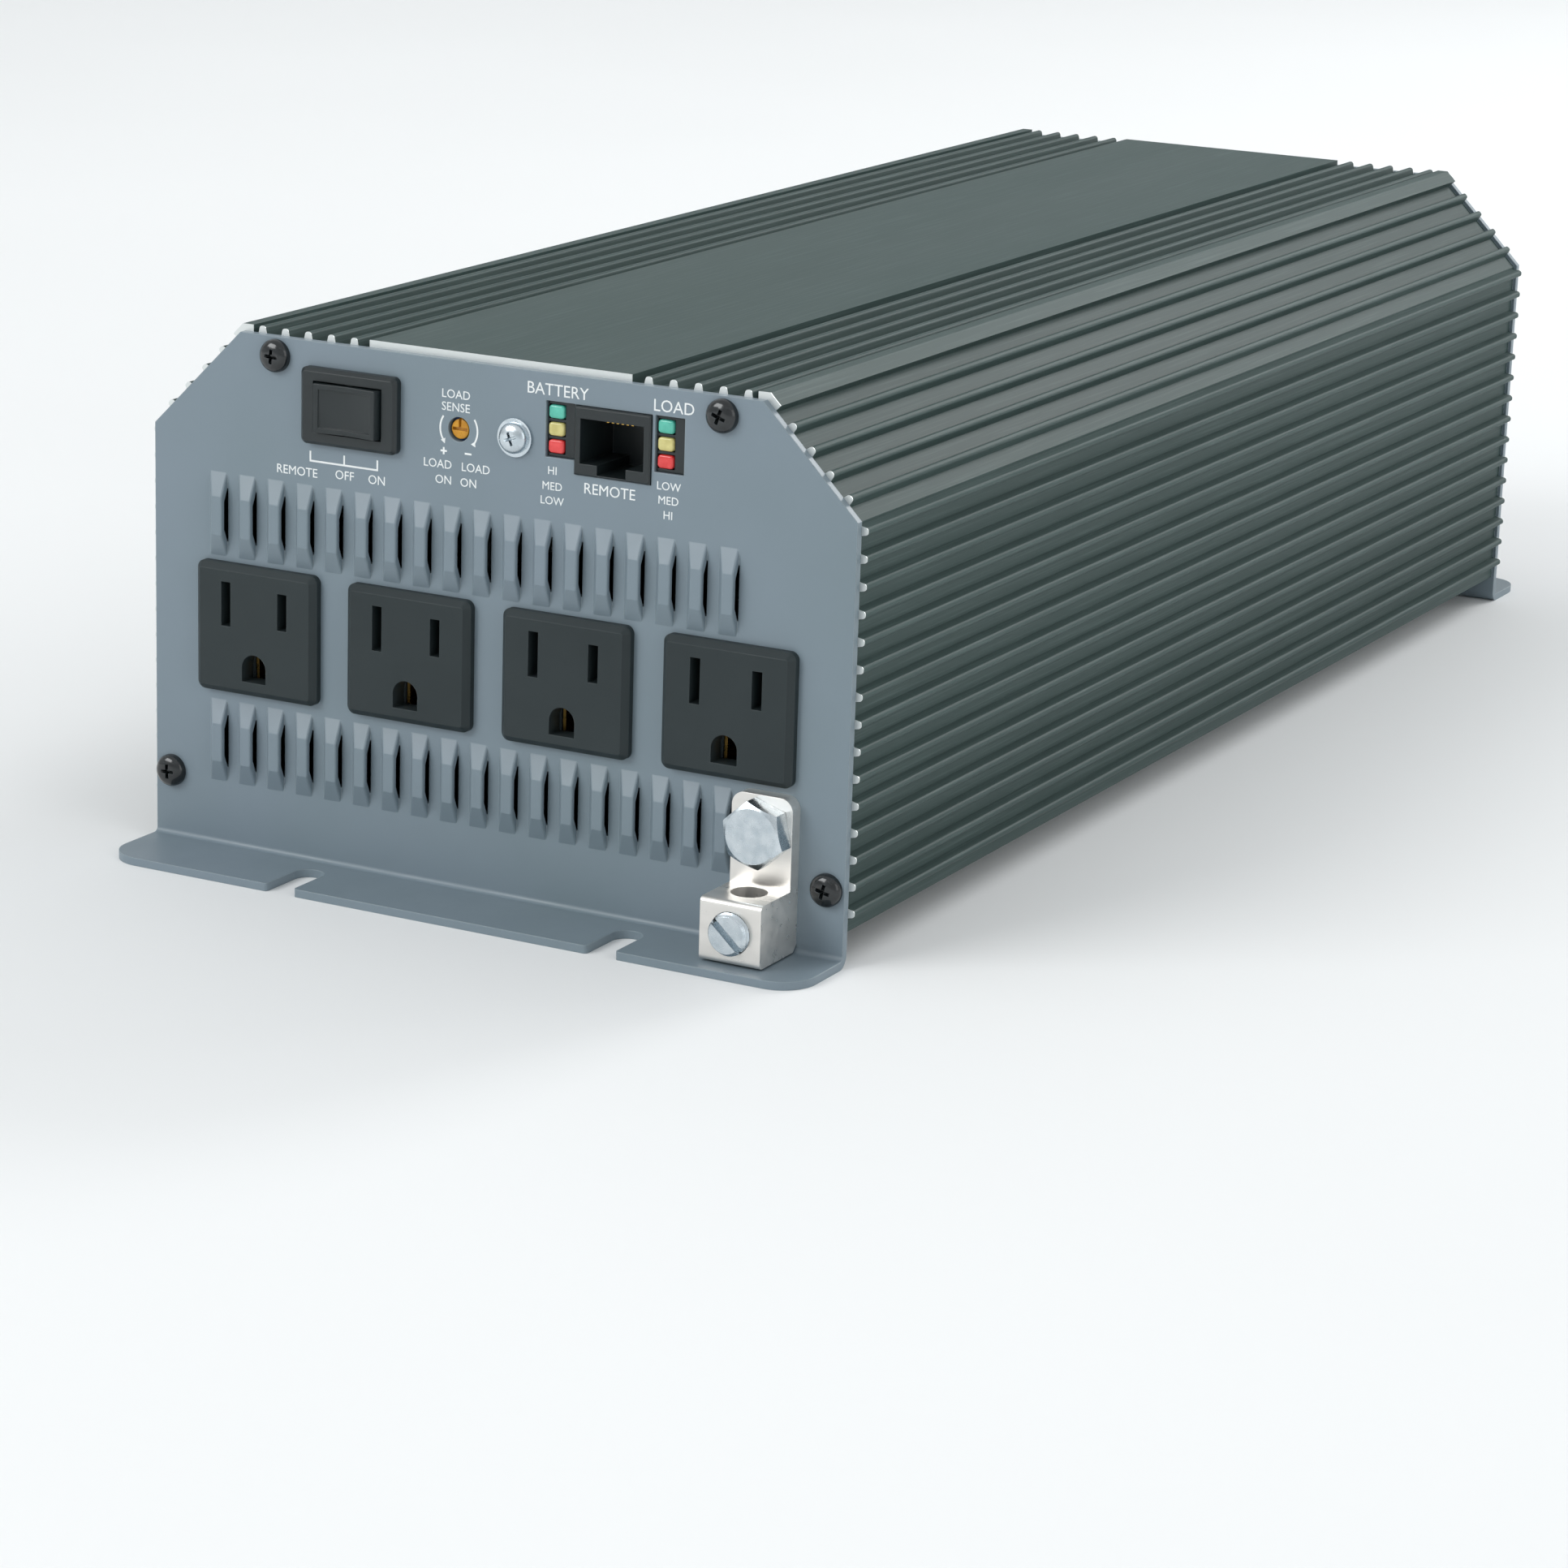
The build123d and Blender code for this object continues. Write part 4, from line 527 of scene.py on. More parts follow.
def prism(sides: int, across: float, depth: float, turn: float = 0.0) -> BMesh:
    """Regular prism, from z = 0 up.

    Args:
        sides: Number of sides.
        across: Distance across its flats.
        depth: Height.
        turn: Turn about z, degrees.

    Returns:
        The prism.
    """
    bm = bmesh.new()
    radius = across / 2 / cos(pi / sides)
    stand = Matrix.Translation((0, 0, depth / 2)) @ Matrix.Rotation(radians(turn), 4, "Z")
    bmesh.ops.create_cone(bm, cap_ends=True, segments=sides, radius1=radius, radius2=radius, depth=depth,
                          matrix=stand)
    return bm


def round_edges(bm: BMesh, edges: Iterable[BMEdge], radius: float, segments: int = 3) -> BMesh:
    """Rounds the given edges; returns the same mesh."""
    bmesh.ops.bevel(bm, geom=list(edges), offset=radius, offset_type="OFFSET", segments=segments,
                    profile=0.5, affect="EDGES", clamp_overlap=True, material=-1)
    return bm


def sharp(bm: BMesh, degrees: float = 30.0) -> list[BMEdge]:
    """Edges whose two faces meet at more than an angle; returns them."""
    return [e for e in bm.edges if len(e.link_faces) == 2 and e.calc_face_angle(0.0) > radians(degrees)]


def move(bm: BMesh, matrix: Matrix) -> BMesh:
    """Moves a whole mesh by a matrix; returns it."""
    bmesh.ops.transform(bm, matrix=matrix, verts=bm.verts)
    return bm


def gather(parts: Iterable[BMesh]) -> BMesh:
    """Puts several meshes into one.

    Args:
        parts: The meshes, which are freed.

    Returns:
        The one mesh.
    """
    whole = bmesh.new()
    for part in parts:
        mesh = bpy.data.meshes.new("part")
        part.to_mesh(mesh)
        part.free()
        whole.from_mesh(mesh)
        bpy.data.meshes.remove(mesh)
    return whole


def repeated(source: BMesh, places: Sequence[Matrix]) -> BMesh:
    """Copies one mesh to several places.

    Args:
        source: The mesh, which is freed.
        places: Where its copies go.

    Returns:
        All the copies, as one mesh.
    """
    whole = gather(move(source.copy(), place) for place in places)
    source.free()
    return whole


class Keep(Enum):
    """What is kept of a solid when another cuts it."""

    OUTSIDE = "DIFFERENCE"
    INSIDE = "INTERSECT"


def carve(body: BMesh, tool: BMesh, keep: Keep = Keep.OUTSIDE) -> BMesh:
    """Cuts one solid with another.

    Args:
        body: The solid that is cut.
        tool: The solid that cuts it.
        keep: Which part of the first is kept.

    Returns:
        The result. Both inputs are freed.
    """
    shapes = []
    for bm in (body, tool):
        mesh = bpy.data.meshes.new("shape")
        bm.to_mesh(mesh)
        bm.free()
        shapes.append(bpy.data.objects.new("shape", mesh))
        bpy.context.scene.collection.objects.link(shapes[-1])
    cut = shapes[0].modifiers.new("cut", "BOOLEAN")
    cut.object = shapes[1]
    cut.operation = keep.value
    cut.solver = "EXACT"
    graph = bpy.context.evaluated_depsgraph_get()
    result = bpy.data.meshes.new_from_object(shapes[0].evaluated_get(graph))
    out = bmesh.new()
    out.from_mesh(result)
    bpy.data.meshes.remove(result)
    for shape in shapes:
        mesh = shape.data
        bpy.data.objects.remove(shape)
        bpy.data.meshes.remove(mesh)
    return tidy(out)


def place_piece(name: str, bm: BMesh, finish: Finish, body: str = "case",
                replaces: Sequence[str] = (), crease: float = 32.0) -> bpy.types.Object:
    """Turns a finished mesh into a piece of the inverter.

    Args:
        name: The piece's name.
        bm: Its mesh, in the frame's metres. It is freed.
        finish: Its surface.
        body: The body that it rides on.
        replaces: CAD nodes that it stands for.
        crease: Edges sharper than this many degrees stay sharp.

    Returns:
        The piece.
    """
    mesh = bpy.data.meshes.new(name)
    bm.to_mesh(mesh)
    bm.free()
    mesh.shade_smooth()
    mesh.set_sharp_from_angle(angle=radians(crease))
    mesh.materials.append(finish.material())
    piece = bpy.data.objects.new(name, mesh)
    bpy.context.scene.collection.objects.link(piece)
    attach(piece, body)
    if replaces:
        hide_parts(*replaces)
    LOG.info("%s: %d faces, on %s", name, len(mesh.polygons), body)
    return piece


# ---------------------------------------------------------------- screws and bolts


class Drive(Enum):
    """How a set screw is turned."""

    SLOT = "slot"
    HEX = "hex"


@dataclass(frozen=True)
class HeadScrew:
    """Pan head machine screw, from its seat at z = 0: domed head above and plain shank below."""

    head_r: float
    head_h: float
    shank_r: float
    length: float
    washer_r: float = 0.0
    washer_h: float = 0.0
    recess: float = 0.7           # reach of the cross, as a share of the head's radius
    arm: float = 0.34             # width of the cross, likewise
    sink: float = 0.62            # depth of the cross, as a share of the head's height
    draft: float = 0.35           # size of the cross at its foot, as a share of its mouth
    point: tuple[float, float] = (0.5, 0.6)    # chamfer at the tip, across and along

    def build(self) -> BMesh:
        """Turns the head and cuts its cross.

        Returns:
            The screw.
        """
        low, high, r = self.washer_h, self.washer_h + self.head_h, self.head_r
        dome = [(0.0, high), (0.42 * r, high - 0.03 * self.head_h), (0.7 * r, high - 0.14 * self.head_h),
                (0.9 * r, high - 0.34 * self.head_h), (0.99 * r, high - 0.6 * self.head_h), (r, low)]
        plate = [(self.washer_r, low), (self.washer_r, 0.0)] if self.washer_r else [(r, 0.0)]
        across, along = self.point
        tail = [(self.shank_r, 0.0), (self.shank_r, along - self.length),
                (self.shank_r - across, -self.length), (0.0, -self.length)]
        body = lathe(dome + plate + tail if self.washer_r else dome[:-1] + plate + tail)
        deep = self.sink * self.head_h
        for turn in (0.0, 90.0):
            cross = block(2 * self.recess * r, self.arm * r, 2 * deep, (0, 0, high), taper=self.draft)
            body = carve(body, move(cross, Matrix.Rotation(radians(turn), 4, "Z")))
        return body


@dataclass(frozen=True)
class HexBolt:
    """Hexagon bolt, from its seat at z = 0: crowned head above and plain shank below."""

    across: float
    head_h: float
    shank_r: float
    length: float
    top: float = 0.93             # radius of the flat top, as a share of half the width across flats
    corner: float = 1.18          # radius past the corners, likewise
    washer: float = 0.97          # radius of the washer face, likewise
    washer_h: float = 0.12

    def build(self) -> BMesh:
        """Crowns a hexagonal prism, which leaves a washer face below it.

        Returns:
            The bolt.
        """
        r = self.across / 2
        crown = lathe([(0.0, self.head_h), (self.top * r, self.head_h), (self.corner * r, 0.8 * self.head_h),
                       (self.corner * r, self.washer_h), (self.washer * r, 0.0), (0.0, 0.0)], 64)
        head = carve(prism(6, self.across, self.head_h), crown, Keep.INSIDE)
        shank = lathe([(0.0, 0.2), (self.shank_r, 0.2), (self.shank_r, 0.6 - self.length),
                       (self.shank_r - 0.6, -self.length), (0.0, -self.length)])
        return gather([head, shank])


@dataclass(frozen=True)
class ThreadedScrew:
    """Set screw with a real thread, from z = 0 at its foot to its driven end."""

    radius: float
    pitch: float
    length: float
    drive: Drive
    drive_size: float
    steps: int = 32               # faces round one turn of the thread
    thread: float = 0.55          # depth of the thread, as a share of its pitch

    def build(self) -> BMesh:
        """Winds the thread, squares and bevels its ends, and cuts the drive.

        Returns:
            The screw.
        """
        root = self.radius - self.thread * self.pitch
        turns = ceil(self.length / self.pitch) + 3
        bm = bmesh.new()
        ridge = [(root, 0.0), (self.radius, 0.4), (self.radius, 0.55), (root, 0.95), (root, 1.0)]
        verts = [bm.verts.new((r, 0.0, (z - 2.0) * self.pitch)) for r, z in ridge]
        edges = [bm.edges.new(pair) for pair in zip(verts, verts[1:])]
        bmesh.ops.spin(bm, geom=verts + edges, cent=(0, 0, 0), axis=(0, 0, 1), angle=2 * pi * turns,
                       dvec=(0, 0, self.pitch / self.steps), steps=self.steps * turns)
        bmesh.ops.remove_doubles(bm, verts=bm.verts, dist=1e-3)
        for level, side in ((0.0, -1), (self.length, 1)):
            cut = bmesh.ops.bisect_plane(bm, geom=bm.verts[:] + bm.edges[:] + bm.faces[:], dist=1e-5,
                                         plane_co=(0, 0, level), plane_no=(0, 0, side), clear_outer=True)
            rim = [e for e in cut["geom_cut"] if isinstance(e, BMEdge) and e.is_boundary]
            bmesh.ops.holes_fill(bm, edges=rim)
        tidy(bm)
        end, over, top, bevel = self.radius - 0.5, self.radius + 0.1, self.length, 0.6
        blank = lathe([(0.0, top), (end, top), (over, top - bevel), (over, bevel), (end, 0.0), (0.0, 0.0)])
        bm = carve(bm, blank, Keep.INSIDE)
        if self.drive is Drive.HEX:
            key = move(prism(6, self.drive_size, 2 * self.drive_size),
                       Matrix.Translation((0, 0, self.length - self.drive_size)))
        else:
            key = block(3 * self.radius, self.drive_size, 3.2 * self.drive_size, (0, 0, self.length))
        return carve(bm, key)


@dataclass
class Fasteners:
    """All the visible screws and bolts of the case, at their real places."""

    top: tuple[float, float] = (47.5, 98.4)    # upper screws of an end plate, x and z
    low: tuple[float, float] = (71.4, 14.5)    # lower ones
    fan_half: float = 35.75       # half the fan's hole spacing
    fan_z: float = 56.5
    panel: tuple[float, float] = (4.7, 89.25)
    terminal_x: float = 51.8
    tab_z: float = 22.0           # screw in the tab of a terminal cover
    tongue_z: float = 57.3        # bolt through the tongue of a terminal lug
    lug: tuple[float, float] = (59.3, 24.2)    # bolt of the earth lug, x and z
    clamp_z: float = 7.8
    cable: tuple[float, float] = (13.0, 36.4)  # cable clamp's line in front of the plate, and its foot, z

    def black_screws(self) -> None:
        """Four black screws in each end plate, and one in each terminal's tab, at odd angles."""
        screw = HeadScrew(head_r=3.15, head_h=2.0, shank_r=1.75, length=12.0).build()
        places = [face.at(side * x, z, 0.0, 37 * side + 25 * face.right + z)
                  for face in (AC, DC) for side in (-1, 1) for x, z in (self.top, self.low)]
        place_piece("end_plate_screws_black", repeated(screw, places), BLACK_SCREW,
                    replaces=["end_plate_screws"])
        screw = HeadScrew(head_r=3.4, head_h=2.0, shank_r=1.9, length=12.0).build()
        places = [DC.at(side * self.terminal_x, self.tab_z, 2.5, 20 + 30 * side) for side in (-1, 1)]
        place_piece("terminal_cover_screws_black", repeated(screw, places), BLACK_SCREW,
                    replaces=["terminal_cover_screws"])

    def bright_screws(self) -> None:
        """Plated screws of the fan guard, the control board and the terminals' tongues."""
        screw = HeadScrew(head_r=3.8, head_h=2.4, shank_r=1.95, length=32.6, arm=0.26, recess=0.58).build()
        places = [DC.at(x, self.fan_z + z, 1.8, 33 + x + z / 3) for x in (-self.fan_half, self.fan_half)
                  for z in (-self.fan_half, self.fan_half)]
        place_piece("fan_screws_plated", repeated(screw, places), ZINC, replaces=["fan_screws"])
        screw = HeadScrew(head_r=2.9, head_h=1.7, shank_r=1.5, length=7.1, washer_r=3.6, washer_h=0.5,
                          arm=0.28).build()
        place_piece("panel_screw_plated", move(screw, AC.at(*self.panel, 0.0, 20)), ZINC,
                    replaces=["panel_screw"])
        screw = HeadScrew(head_r=4.2, head_h=2.6, shank_r=2.5, length=13.8).build()
        places = [DC.at(side * self.terminal_x, self.tongue_z, 3.2, 40 * side) for side in (-1, 1)]
        place_piece("lug_bolts_plated", repeated(screw, places), ZINC, replaces=["lug_bolts"])

    def earth_bolt(self) -> None:
        """Hexagon bolt of the earth lug, and its slotted clamp screw."""
        bolt = HexBolt(across=11.1, head_h=4.2, shank_r=3.1, length=11.6).build()
        place_piece("ground_bolt_plated", move(bolt, AC.at(*self.lug, 3.0, 12)), ZINC,
                    replaces=["ground_bolt"], crease=18.0)
        screw = ThreadedScrew(radius=4.0, pitch=1.25, length=5.0, drive=Drive.SLOT, drive_size=1.3).build()
        place_piece("ground_clamp_screw_plated", move(screw, AC.at(self.lug[0], self.clamp_z, 10.6, -42)),
                    ZINC, "clamp_ground", ["ground_clamp_screw"])

    def cable_clamps(self) -> None:
        """Threaded set screws that stand across the two cable entries."""
        out, foot = self.cable
        for pole, side in (("negative", 1), ("positive", -1)):
            screw = ThreadedScrew(radius=5.0, pitch=1.5, length=14.2, drive=Drive.HEX,
                                  drive_size=5.0).build()
            place = upright(side * self.terminal_x, DC.y + out, foot)
            place_piece(f"clamp_screw_{pole}_threaded", move(screw, place), ZINC, f"clamp_{pole}",
                        [f"clamp_screw_{pole}"])

    def build(self) -> None:
        """Makes every screw and bolt."""
        self.black_screws()
        self.bright_screws()
        self.earth_bolt()
        self.cable_clamps()


# ---------------------------------------------------------------- terminal cover and controls


@dataclass
class PositiveCover:
    """Red terminal cover of the CAD, with a small raised cross in a ring beside its cable entry."""

    x: float = -51.8
    front: float = 25.0           # face of the cover, in front of the plate
    shave: float = 0.02           # how far that face is planed down
    mark_x: float = -45.7
    mark_z: float = 48.9
    ring_r: float = 1.9
    line_w: float = 0.5
    rise: float = 0.25
    root: float = 0.5             # depth of the mark below the face
    arm: float = 1.3              # length of the cross, in ring radii
    step: float = 0.04            # how much thinner its second bar is, so that their tops don't coincide

    def mark(self) -> BMesh:
        """Raises a ring and a cross from below a plain face.

        Returns:
            The mark, around its own middle.
        """
        r, w, up, root = self.ring_r, self.line_w, self.rise, self.root
        through = 2.0             # reaches past both ends of the ring
        ring = carve(lathe([(0.0, up), (r, up), (r, -root), (0.0, -root)]),
                     lathe([(0.0, through), (r - w, through), (r - w, -through), (0.0, -through)]))
        bars = [block(self.arm * r, w, up + root, (0, 0, (up - root) / 2)),
                block(w, self.arm * r, up + root - self.step, (0, 0, (up - root) / 2))]
        return gather([ring, *bars])

    def build(self) -> None:
        """Planes the plain mark off a copy of the cover, and sets the ringed one on it."""
        cover = bmesh.new()
        cover.from_mesh(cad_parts["terminal_cover_positive"].data)
        bmesh.ops.remove_doubles(cover, verts=cover.verts, dist=1e-3 * MM)
        move(cover, Matrix.Scale(1 / MM, 4))
        tidy(cover)
        wide, deep, high = 40, 4, 90      # larger than the face in each direction
        face = self.front - self.shave
        plane = block(wide, deep, high, (self.x, DC.y + face + deep / 2, 40))
        cover = move(carve(cover, plane), Matrix.Scale(MM, 4))
        mark = move(self.mark(), DC.at(self.mark_x, self.mark_z, face))
        place_piece("terminal_cover_positive_marked", gather([cover, mark]), TERMINAL_RED,
                    replaces=["terminal_cover_positive"])


@dataclass
class Rocker:
    """Rocker of the switch: a curved key whose two halves slope, with a raised rim."""

    x: float = -30.5
    z: float = 90.2
    out: float = 0.5              # pivot in front of the panel
    radius: float = 7.2           # of its curved ends, about the pivot
    height: float = 9.2
    front: float = 2.1            # middle of the rocker in front of its pivot
    rake: float = 6.0             # slope of its halves, degrees
    tail: float = 4.5             # depth behind its pivot
    rim: float = 1.0              # width of the raised rim
    end_rim: float = 1.6          # the same at the curved ends
    dish: float = 0.35            # depth of the face inside the rim
    edge_r: float = 0.22
    axle_r: float = 1.0
    axle_length: float = 11.0

    def wedge(self) -> BMesh:
        """Draws what is cut away in front of the two sloping halves.

        Returns:
            The wedge, wider than the rocker on every side.
        """
        reach, top, deep = 10, 12, 16.0
        rise = reach * tan(radians(self.rake))
        wedge = bmesh.new()
        outline = [(-reach, self.front + rise), (0, self.front), (reach, self.front + rise), (reach, top),
                   (-reach, top)]
        face = wedge.faces.new([wedge.verts.new((x, -deep / 2, z)) for x, z in outline])
        lifted = bmesh.ops.extrude_face_region(wedge, geom=[face])["geom"]
        bmesh.ops.translate(wedge, vec=(0, deep, 0), verts=[v for v in lifted if isinstance(v, BMVert)])
        return tidy(wedge)

    def sink_face(self, key: BMesh) -> None:
        """Leaves a raised rim round the face.

        Args:
            key: The rocker, which is changed.
        """
        faces = [f for f in key.faces if f.normal.z > 0.9]
        bmesh.ops.inset_region(key, faces=faces, thickness=self.rim, depth=0.0, use_even_offset=True)
        side = self.height / 2 - self.rim / 2
        faces = [f for f in key.faces
                 if f.normal.z > 0.9 and abs(f.calc_center_median().x) < self.radius - self.end_rim
                 and all(abs(v.co.y) < side for v in f.verts)]
        sunk = bmesh.ops.extrude_face_region(key, geom=faces)["geom"]
        bmesh.ops.translate(key, vec=(0, 0, -self.dish), verts=[v for v in sunk if isinstance(v, BMVert)])
        bmesh.ops.delete(key, geom=faces, context="FACES_ONLY")

    def build(self) -> None:
        """Cuts the key from a disc, sinks its face inside a rim and rounds its edges."""
        lie = Matrix.Rotation(radians(90), 4, "X")
        key = move(prism(72, 2 * self.radius, self.height),
                   lie @ Matrix.Translation((0, 0, -self.height / 2)))
        key = carve(key, self.wedge())
        key = carve(key, block(20, 20, 6, (0, 0, -self.tail - 3)))
        self.sink_face(key)
        tidy(key)
        round_edges(key, [e for e in sharp(key, 28) if all(v.co.z > 1.4 for v in e.verts)], self.edge_r)
        axle = move(prism(24, 2 * self.axle_r, self.axle_length),
                    lie @ Matrix.Translation((0, 0, -self.axle_length / 2)))
        place_piece("switch_rocker_moulded", move(gather([key, axle]), AC.at(self.x, self.z, self.out)),
                    SWITCH, "rocker", ["switch_rocker"])


@dataclass
class TrimmerDial:
    """Amber dial of the trimmer, with a screwdriver slot that has an arm to one side."""

    x: float = -7.4
    z: float = 89.25
    radius: float = 1.9
    depth: float = 4.3
    sink: float = 0.4             # its face behind the panel's
    slot: float = 0.6             # width of the slot
    cut: float = 1.4              # thickness of the cutter, half of which goes in

    def build(self) -> None:
        """Turns the dial, and cuts the slot and its arm."""
        r = self.radius
        dial = lathe([(0.0, 0.0), (r - 0.35, 0.0), (r - 0.1, -0.1), (r, -0.35), (r, -self.depth),
                      (0.0, -self.depth)], 40)
        dial = carve(dial, block(1.7 * r, self.slot, self.cut))
        dial = carve(dial, block(self.slot, r, self.cut, (0, r / 2, 0)))
        place_piece("trimmer_dial_moulded", move(dial, AC.at(self.x, self.z, -self.sink)), DIAL,
                    "dial", ["trimmer_dial"])


@dataclass
class Lamps:
    """Two columns of three indicator lenses, each with rounded corners and a crowned face."""

    columns: tuple[float, float] = (13.1, 35.8)
    z: float = 91.7
    pitch: float = 3.2
    width: float = 3.3
    height: float = 2.5
    proud: float = 0.5            # front of a lens above its seat
    seat: float = 2.0             # depth of a lens below it
    recess: float = 0.7           # seat behind the panel's face
    corner_r: float = 0.7
    crown_r: float = 0.42

    def lens(self) -> BMesh:
        """Rounds a block's corners and crowns its front.

        Returns:
            The lens.
        """
        depth = self.seat + self.proud
        bm = block(self.width, self.height, depth, (0, 0, self.proud - depth / 2))
        corners = [e for e in bm.edges if abs(e.verts[0].co.z - e.verts[1].co.z) > 1]
        round_edges(bm, corners, self.corner_r, 5)
        rim = [e for e in bm.edges if all(v.co.z > self.proud - 0.01 for v in e.verts)]
        return round_edges(bm, rim, self.crown_r, 4)

    def build(self) -> None:
        """Makes one piece for each colour."""
        for row, colour, finish in ((1, "green", LAMP_GREEN), (0, "yellow", LAMP_YELLOW),
                                    (-1, "red", LAMP_RED)):
            places = [AC.at(x, self.z + row * self.pitch, -self.recess) for x in self.columns]
            place_piece(f"lenses_{colour}", repeated(self.lens(), places), finish,
                        replaces=[f"lamps_{colour}"])


# ---------------------------------------------------------------- fan


@dataclass
class Impeller:
    """Moulded fan rotor: a stepped hub and seven swept blades."""

    z: float = 56.5
    set_back: float = 4.1         # hub's face behind the plate's face
    hub_r: float = 17.0
    hub_depth: float = 18.0
    wall: float = 1.6
    tip_r: float = 37.3
    blades: int = 7
    root_r: float = 16.1
    axial: float = 13.0           # length of a blade along the axis
    root_sweep: float = 8.0       # how far a blade leans at its root
    tip_sweep: float = 20.0       # and at its tip
    bow: float = 1.6              # how far its root line is bowed
    thickness: float = 1.3
    rings: int = 8                # steps from the root to the tip
    points: int = 9               # points along the root line
    past: float = 1.2             # how far a blade is drawn past the tip, before it is turned down

    def hub(self) -> BMesh:
        """Turns the stepped hub and its short shaft; returns it."""
        r, w, d = self.hub_r, self.wall, self.hub_depth
        return lathe([(0.0, -0.7), (9.0, -0.7), (9.4, -0.3), (12.6, -0.3), (13.0, 0.0), (r - 1.5, 0.0),
                      (r - 0.45, -0.3), (r, -1.4), (r, -d), (r - w, -d), (r - w, -w - 0.7), (1.5, -w - 0.7),
                      (1.5, -19.5), (0.0, -19.5)], 72)

    def blade(self) -> BMesh:
        """Draws a root line outwards with a growing sweep, gives it thickness and turns its tip down.

        Returns:
            One blade.
        """
        bm = bmesh.new()
        line = []
        for k in range(self.points):
            t = 2 * k / (self.points - 1) - 1
            line.append(bm.verts.new((-t * self.root_sweep / 2 + self.bow * (1 - t * t), self.root_r,
                                      t * self.axial / 2 - self.hub_depth / 2)))
        edges = [bm.edges.new(pair) for pair in zip(line, line[1:])]
        step = (self.tip_r + self.past - self.root_r) / self.rings
        grow = (self.tip_sweep / self.root_sweep) ** (1 / self.rings)
        for _ in range(self.rings):
            made = bmesh.ops.extrude_edge_only(bm, edges=edges)["geom"]
            verts = [v for v in made if isinstance(v, BMVert)]
            edges = [e for e in made if isinstance(e, BMEdge)]
            bmesh.ops.translate(bm, vec=(0, step, 0), verts=verts)
            bmesh.ops.scale(bm, vec=(grow, 1, 1), verts=verts)
        bmesh.ops.recalc_face_normals(bm, faces=bm.faces)
        bmesh.ops.solidify(bm, geom=bm.faces[:], thickness=self.thickness)
        tidy(bm)
        round_edges(bm, sharp(bm, 50), 0.4, 2)
        ring = lathe([(0.0, 2.0), (self.tip_r, 2.0), (self.tip_r, -24.0), (0.0, -24.0)], 96)
        return carve(bm, ring, Keep.INSIDE)

    def build(self) -> None:
        """Sets the blades round the hub."""
        turns = [Matrix.Rotation(2 * pi * k / self.blades, 4, "Z") for k in range(self.blades)]
        rotor = gather([self.hub(), repeated(self.blade(), turns)])
        place_piece("fan_impeller_moulded", move(rotor, DC.at(0.0, self.z, -self.set_back)), FAN,
                    "impeller", ["fan_impeller"], crease=38.0)


# ---------------------------------------------------------------- printing


